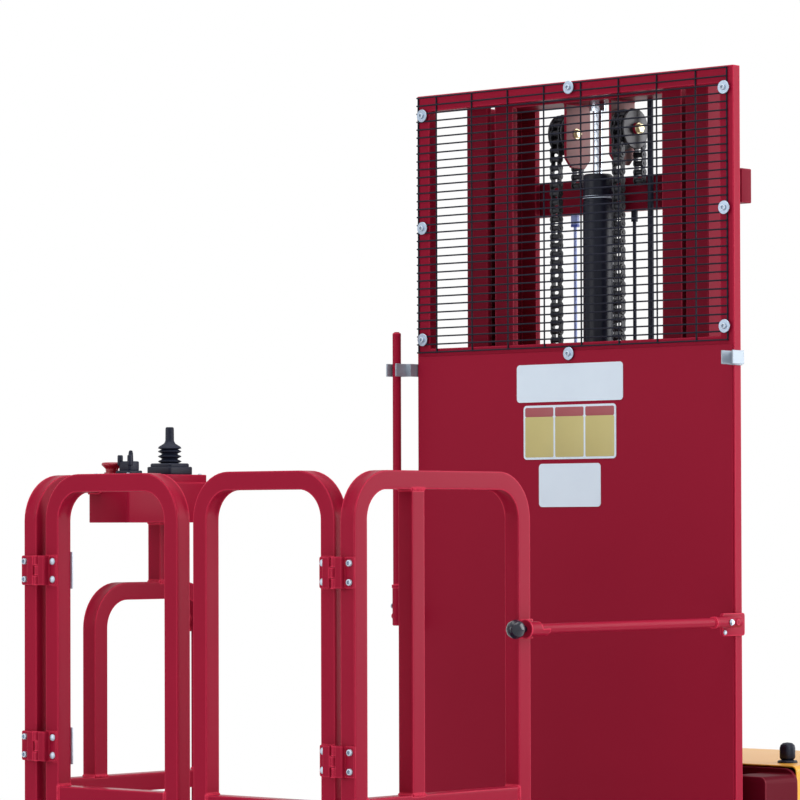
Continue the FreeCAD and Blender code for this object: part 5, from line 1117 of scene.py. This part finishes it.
class PICKER_OT_mast(bpy.types.Operator):
    """Finishes the mast stages, pulleys, cylinder, rod, hose, cable and carriage"""

    bl_idname = "picker.mast"
    bl_label = "Mast"

    def execute(self, context):
        for node in ("outer_mast", "inner_mast", "carriage"):
            softened(node, "mast_paint", 0.0018)
        self.low_bar_ends()
        self.cylinder()
        self.pulleys()
        self.lines()
        return {"FINISHED"}

    def cylinder(self):
        """The barrel with a groove and a snap ring near its head, and the rod."""
        low, high = box("lift_cylinder")
        middle = (0.0, (low[1] + high[1]) / 2, 0)
        radius = (high[0] - low[0]) / 2
        barrel = revolved([
            (low[2], 0), (low[2], radius), (1.9555, radius), (1.9565, radius - 0.0012),
            (1.9615, radius - 0.0012), (1.9625, radius - 0.002), (1.9665, radius - 0.002),
            (1.9672, radius), (2.0035, radius), (high[2], radius - 0.0035), (high[2], 0.0094),
            (high[2] - 0.013, 0.0094),
        ], middle, steps=48)
        piece("cylinder_barrel", barrel, "chassis", "barrel_black", "cylinder_black", ("lift_cylinder",))
        snap = revolved([(1.9622, 0.0262), (1.9622, 0.0279), (1.9668, 0.0279), (1.9668, 0.0262)], middle,
                        steps=48)
        piece("cylinder_ring", snap, "chassis", "bright_zinc", "axle_steel")
        dress("piston_rod", "bright_chrome")

    def pulleys(self):
        """The pulleys with their bolts, the worn skins of their cheeks and the beads over them."""
        low, high = box("chain_pulleys")
        softened("chain_pulleys", "pulley_black", 0.0012)
        centre = (low + high) / 2
        cheek_x, cheek_thick, proud, sunk = 0.050, 0.005, 0.0004, 0.0002
        bolts = fasteners(hex_head(0.0095), [(high[0] + 0.0065, centre[1], centre[2])], 0, 1.0)
        inner_bolts = fasteners(hex_head(0.0085), [(-cheek_x + proud, centre[1], centre[2])], 0, 1.0)
        both = joined([bolts, mirrored(bolts), inner_bolts, mirrored(inner_bolts)])
        piece("pulley_bolts", both, "inner_stage", "yellow_zinc", "axle_steel")
        cheek_low, cheek_high, cut = (0.2925, 2.0225), (0.3615, 2.139), 0.0155
        outline = [(cheek_low[0] + cut, cheek_low[1]), (cheek_high[0] - cut, cheek_low[1]),
                   (cheek_high[0], cheek_low[1] + cut), cheek_high, (cheek_low[0], cheek_high[1]),
                   (cheek_low[0], cheek_low[1] + cut)]
        back = cheek_x + cheek_thick
        skins = joined([prism(outline, 0, cheek_x - proud, cheek_x + sunk),
                        prism(outline, 0, back - sunk, back + proud)])
        piece("cheek_skins", joined([skins, mirrored(skins)]), "inner_stage", "cheek_dusty", "mast_red")
        bead_z = 2.1398
        beads = joined([weld((x, cheek_low[0], bead_z), (x, cheek_high[0], bead_z), 0.0026)
                        for x in (cheek_x, back)])
        piece("crosshead_welds", joined([beads, mirrored(beads)]), "inner_stage", "mast_paint", "mast_red")

    def lines(self):
        """The lift hose, the sensor cable with its plug, and the return line beside the cylinder."""
        dress("lift_hose", "bellows_rubber")
        dress("sensor_cable", "cable_sheath")
        low, high = box("sensor_cable")
        middle = (low + high) / 2
        plug_long, line_x, line_end = 0.0225, 0.0354, 0.02
        plug = revolved([
            (0, 0.0032), (0, 0.0083), (0.004, 0.0083), (0.006, 0.0072), (plug_long, 0.0072), (plug_long, 0),
        ], (middle[0], middle[1], high[2] - plug_long), steps=24)
        piece("cable_plug", plug, "chassis", "plug_blue", "cable_blue")
        line = revolved([
            (low[2], 0), (low[2], 0.0034), (high[2] - line_end, 0.0034), (high[2] - line_end, 0.0062),
            (high[2], 0.0062), (high[2], 0),
        ], (line_x, middle[1], 0), steps=16)
        piece("return_line", line, "chassis", "bellows_rubber", node_slot("lift_hose"))

    def low_bar_ends(self):
        """Draws the low cross bar's ends in behind the guard, where the photograph shows none."""
        mesh = bpy.data.objects["outer_mast_dressed"].data
        spots = np.empty(len(mesh.vertices) * 3, np.float32)
        mesh.vertices.foreach_get("co", spots)
        spots = spots.reshape(-1, 3)
        bar_under, upright_out, drawn_in = 1.1, 0.286, 0.2625
        ends = (spots[:, 2] < bar_under) & (np.abs(spots[:, 0]) > upright_out)
        spots[ends, 0] = np.sign(spots[ends, 0]) * drawn_in
        mesh.vertices.foreach_set("co", spots.ravel())
        mesh.update()


# Power unit and chassis

def grip_lobes(turn):
    """Radius of the filler cap's grip over the turn: six lobes."""
    return 1 + 0.055 * np.cos(6 * turn)


class PICKER_OT_power_unit(bpy.types.Operator):
    """Finishes the hood, bulkhead, chassis frame, filler cap and battery"""

    bl_idname = "picker.power_unit"
    bl_label = "Power unit"

    def execute(self, context):
        softened("power_hood", "hood_paint", 0.0025, segments=3)
        softened("bulkhead", "bulkhead_paint", 0.002)
        softened("base_frame", "chassis_paint", 0.002)
        dress("battery_block", "black_plastic")
        self.fittings()
        low, high = box("filler_cap")
        middle = (low + high) / 2
        foot = (middle[0], middle[1], low[2])
        tall = high[2] - low[2]
        cap = revolved([(0, 0), (0, 0.018), (0.003, 0.018), (0.0045, 0.0165), (0.0048, 0.012)], foot, steps=48)
        grip = revolved([
            (0.0045, 0.010), (0.007, 0.0128), (0.010, 0.0142), (tall * 0.72, 0.0142), (tall * 0.86, 0.0128),
            (tall * 0.96, 0.0085), (tall, 0.0),
        ], foot, steps=48, wave=grip_lobes)
        piece("filler_cap_grip", joined([cap, grip]), "chassis", "black_plastic", "cap_black",
              ("filler_cap",))
        return {"FINISHED"}

    def fittings(self):
        """The gasket under the hood's lid, its latches and the charging socket."""
        low, high = box("power_hood")
        lid, thick, proud, corner = 0.115, 0.003, 0.0004, 0.030
        seam = high[2] - lid
        middle = (low[:2] + high[:2]) / 2
        outline = middle + rounded_rectangle(*(high[:2] - low[:2] + 2 * proud), corner + proud, 6)
        gasket = prism(outline, 2, seam - thick / 2, seam + thick / 2)
        piece("hood_gasket", gasket, "chassis", "bellows_rubber", "cap_black")
        back = high[1]
        latches = []
        for x in (-0.22, 0.22):
            latches.append(sheet_between((x - 0.017, x + 0.017), (back - 0.001, back + 0.003),
                                         (seam - 0.034, seam + 0.022), 0.001, 0.004))
            latches.append(sheet_between((x - 0.009, x + 0.009), (back + 0.002, back + 0.0065),
                                         (seam - 0.028, seam + 0.010), 0.0015, 0.004))
        piece("hood_latches", joined(latches), "chassis", "bright_zinc", "clip_steel")
        socket_z = 0.52
        socket = revolved([
            (-0.001, 0), (-0.001, 0.034), (0.002, 0.034), (0.003, 0.0325), (0.003, 0.027), (0.0045, 0.0265),
            (0.0058, 0.024), (0.0058, 0),
        ], (0.0, back, socket_z), 1, 40)
        tab = sheet_between((-0.007, 0.007), (back + 0.002, back + 0.0065), (0.480, 0.499), 0.0012, 0.002)
        piece("charging_socket", joined([socket, tab]), "chassis", "black_plastic", "cap_black")


def wheel_parts(middle, radius, wide, rim):
    """Tyre and centre of a wheel about an axle along X: two closed profiles turned about it. The
    tyre's tread has shallow grooves round it."""
    half = wide / 2
    turn = np.linspace(0, np.pi / 2, 5)
    shoulder, deep, foot, mouth, bead = 0.006, 0.002, 0.0014, 0.0022, 0.004
    left = np.stack([-half + shoulder * (1 - np.sin(turn)), radius - shoulder * (1 - np.cos(turn))], -1)
    left = left[::-1]
    grooves = []
    for place in np.linspace(-half * 0.5, half * 0.5, 3):
        grooves += [(place - mouth, radius), (place - foot, radius - deep), (place + foot, radius - deep),
                    (place + mouth, radius)]
    tread = np.concatenate([left, grooves, left[::-1] * (-1, 1)])
    tyre = np.concatenate([[(-half + bead, rim)], tread, [(half - bead, rim), (-half + bead, rim)]])
    dish = half * 0.34
    face = [
        (-half + 0.005, rim), (-half + 0.003, rim - 0.004), (-half + 0.006, rim - 0.009), (-dish, rim - 0.014),
        (-dish, rim * 0.48), (-half + 0.010, rim * 0.40), (-half + 0.009, rim * 0.18),
    ]
    centre = face + [(-x, across) for x, across in reversed(face)] + face[:1]
    return revolved(tyre, middle, 0, 72), revolved(centre, middle, 0, 56)


class PICKER_OT_wheels(bpy.types.Operator):
    """Builds the drive wheels, the castors and their forks"""

    bl_idname = "picker.wheels"
    bl_label = "Wheels"

    def execute(self, context):
        dress("drive_axles", "machined_steel")
        for label, side in SIDES:
            for node, body, rim_share in (("drive_wheel_" + label, "drive_" + label, 0.64),
                                          ("castor_wheel_" + label, "castor_%s_roll" % label, 0.67)):
                low, high = box(node)
                radius = (high[2] - low[2]) / 2
                tyre, centre = wheel_parts((low + high) / 2, radius, high[0] - low[0], radius * rim_share)
                piece(node + "_tyre", tyre, body, "tyre_rubber", "wheel_tyre", (node,))
                piece(node + "_centre", centre, body, "cast_grey", "fork_zinc")
            softened("castor_fork_" + label, "bright_zinc", 0.0009)
        low, high = box("drive_wheel_right")
        middle = (low + high) / 2
        count, ring, proud = 5, 0.046, 0.012
        angles = np.arange(count) * 2 * np.pi / count
        spots = np.column_stack([np.full(count, middle[0] + proud), middle[1] + ring * np.cos(angles),
                                 middle[2] + ring * np.sin(angles)])
        nuts = fasteners(hex_head(0.0085), spots, 0, 1.0)
        piece("drive_nuts_right", nuts, "drive_right", "bright_zinc", "fork_zinc")
        piece("drive_nuts_left", mirrored(nuts), "drive_left", "bright_zinc", "fork_zinc")
        return {"FINISHED"}


# Stage

class PICKER_OT_stage(bpy.types.Operator):
    """Sets the pale floor, the soft studio light and the camera"""

    bl_idname = "picker.stage"
    bl_label = "Studio"

    def execute(self, context):
        scene = context.scene
        studio = scene.studio_settings
        scene.view_settings.view_transform = "Standard"
        self.floor()
        self.room(studio.room)
        self.lamp("side_light", studio.key, 3.0, (2.9, 2.4, 2.3), (0.0, 0.0, 1.2))
        self.lamp("front_light", studio.fill, 4.0, (-1.8, -6.0, 2.8), (0.0, 0.0, 1.2))
        self.lamp("top_light", studio.top, 4.0, (0.5, -0.8, 5.5), (0.0, 0.0, 1.0))
        self.camera()
        return {"FINISHED"}

    def floor(self):
        """A wide pale floor that keeps the shadow near the truck and turns plain white further out."""
        half = 40.0
        mesh = bpy.data.meshes.new("studio_floor")
        corners = [(-half, -half, 0), (half, -half, 0), (half, half, 0), (-half, half, 0)]
        mesh.from_pydata(corners, [], [(0, 1, 2, 3)])
        floor = bpy.data.objects.new("studio_floor", mesh)
        bpy.context.scene.collection.objects.link(floor)
        material = bpy.data.materials.new("floor_pale")
        material.use_nodes = True
        tree = material.node_tree
        tree.nodes.clear()
        place = add_node(tree, "TexCoord").outputs["Object"]
        away = add_node(tree, "VectorMath", {0: place}, operation="LENGTH").outputs["Value"]
        share = add_node(tree, "MapRange", {
            "Value": away, "From Min": 1.6, "From Max": 4.5, "To Min": 0.0, "To Max": 1.0,
        }, interpolation_type="SMOOTHSTEP").outputs["Result"]
        near = add_node(tree, "BsdfDiffuse", {"Color": (0.92, 0.92, 0.93, 1.0)}).outputs["BSDF"]
        white = add_node(tree, "Emission", {
            "Color": (1.0, 1.0, 1.0, 1.0), "Strength": 1.0,
        }).outputs["Emission"]
        rays = self.seen_rays(tree)
        seen = add_node(tree, "Math", {0: rays, 1: share}, operation="MULTIPLY").outputs["Value"]
        mixed = add_node(tree, "MixShader", {0: seen, 1: near, 2: white}).outputs["Shader"]
        add_node(tree, "OutputMaterial", {"Surface": mixed})
        mesh.materials.append(material)

    def seen_rays(self, tree):
        """One for camera, glossy and transmission rays, so that metal shows the pale room too."""
        paths = add_node(tree, "LightPath")
        most = add_node(tree, "Math", {
            0: paths.outputs["Is Camera Ray"], 1: paths.outputs["Is Glossy Ray"],
        }, operation="MAXIMUM").outputs["Value"]
        return add_node(tree, "Math", {
            0: most, 1: paths.outputs["Is Transmission Ray"],
        }, operation="MAXIMUM").outputs["Value"]

    def room(self, strength):
        """A world that is plain white where it is seen and a weaker pale light elsewhere."""
        world = bpy.data.worlds.new("pale_room")
        bpy.context.scene.world = world
        world.use_nodes = True
        tree = world.node_tree
        tree.nodes.clear()
        light = add_node(tree, "Background", {"Color": (0.96, 0.98, 1.0, 1.0), "Strength": strength})
        white = add_node(tree, "Background", {"Color": (1.0, 1.0, 1.0, 1.0), "Strength": 1.0})
        mixed = add_node(tree, "MixShader", {
            0: self.seen_rays(tree), 1: light.outputs["Background"], 2: white.outputs["Background"],
        }).outputs["Shader"]
        add_node(tree, "OutputWorld", {"Surface": mixed})

    def lamp(self, name, power, size, place, target):
        """A square area light that looks at a target."""
        data = bpy.data.lights.new(name, "AREA")
        data.energy = power
        data.size = size
        lamp = bpy.data.objects.new(name, data)
        bpy.context.scene.collection.objects.link(lamp)
        way = Vector(place) - Vector(target)
        lamp.location = place
        lamp.rotation_euler = way.to_track_quat("Z", "Y").to_euler()

    def camera(self):
        """The camera of the photograph, from a fit of the cage, gates, guard and mesh corners."""
        picture = 800.0
        focal = 3823.9
        middle_row = 460.0
        place = (4.3868, -5.1684, 1.3596)
        azimuth, elevation, roll = (math.radians(angle) for angle in (41.604, -1.009, -0.157))
        back = np.array([math.sin(azimuth) * math.cos(elevation), -math.cos(azimuth) * math.cos(elevation),
                         math.sin(elevation)])
        right = np.array([math.cos(azimuth), math.sin(azimuth), 0.0])
        up = np.cross(back, right)
        turned_right = math.cos(roll) * right + math.sin(roll) * up
        turned_up = math.cos(roll) * up - math.sin(roll) * right
        data = bpy.data.cameras.new("photo_camera")
        data.sensor_width = 36.0
        data.lens = focal * data.sensor_width / picture
        data.shift_y = (middle_row - picture / 2) / picture
        data.clip_start = 0.1
        data.clip_end = 200.0
        camera = bpy.data.objects.new("photo_camera", data)
        bpy.context.scene.collection.objects.link(camera)
        turn = Matrix(np.column_stack([turned_right, turned_up, back]).tolist()).to_4x4()
        camera.matrix_world = Matrix.Translation(place) @ turn
        bpy.context.scene.camera = camera


# Panel and registration

OPERATORS = (
    PICKER_OT_finishes, PICKER_OT_side_frames, PICKER_OT_gates, PICKER_OT_deck, PICKER_OT_guard,
    PICKER_OT_plates, PICKER_OT_console, PICKER_OT_drop_bars, PICKER_OT_chains, PICKER_OT_mast,
    PICKER_OT_power_unit, PICKER_OT_wheels, PICKER_OT_stage,
)
SETTINGS = (
    ("cage_sizes", CageSizes), ("hinge_sizes", HingeSizes), ("guard_sizes", GuardSizes),
    ("bar_sizes", BarSizes), ("chain_sizes", ChainSizes), ("truck_colours", TruckColours),
    ("studio_settings", StudioSettings),
)


class PICKER_PT_panel(bpy.types.Panel):
    """Lists the truck's settings and the steps that build it"""

    bl_idname = "PICKER_PT_panel"
    bl_label = "Order picker"
    bl_space_type = "VIEW_3D"
    bl_region_type = "UI"
    bl_category = "Order picker"

    def draw(self, context):
        for key, group in SETTINGS:
            column = self.layout.column(align=True)
            column.label(text=group.__name__)
            for name in group.__annotations__:
                column.prop(getattr(context.scene, key), name)
        for operator in OPERATORS:
            self.layout.operator(operator.bl_idname)


def register():
    """Makes the settings, operators and panel known to Blender."""
    for key, group in SETTINGS:
        bpy.utils.register_class(group)
        setattr(bpy.types.Scene, key, PointerProperty(type=group))
    for operator in OPERATORS + (PICKER_PT_panel,):
        bpy.utils.register_class(operator)


def unregister():
    """Takes them away again."""
    for operator in reversed(OPERATORS + (PICKER_PT_panel,)):
        bpy.utils.unregister_class(operator)
    for key, group in reversed(SETTINGS):
        delattr(bpy.types.Scene, key)
        bpy.utils.unregister_class(group)


def main():
    """Builds the truck step by step."""
    register()
    for operator in OPERATORS:
        group, name = operator.bl_idname.split(".")
        getattr(getattr(bpy.ops, group), name)()


if __name__ == "__main__":
    main()
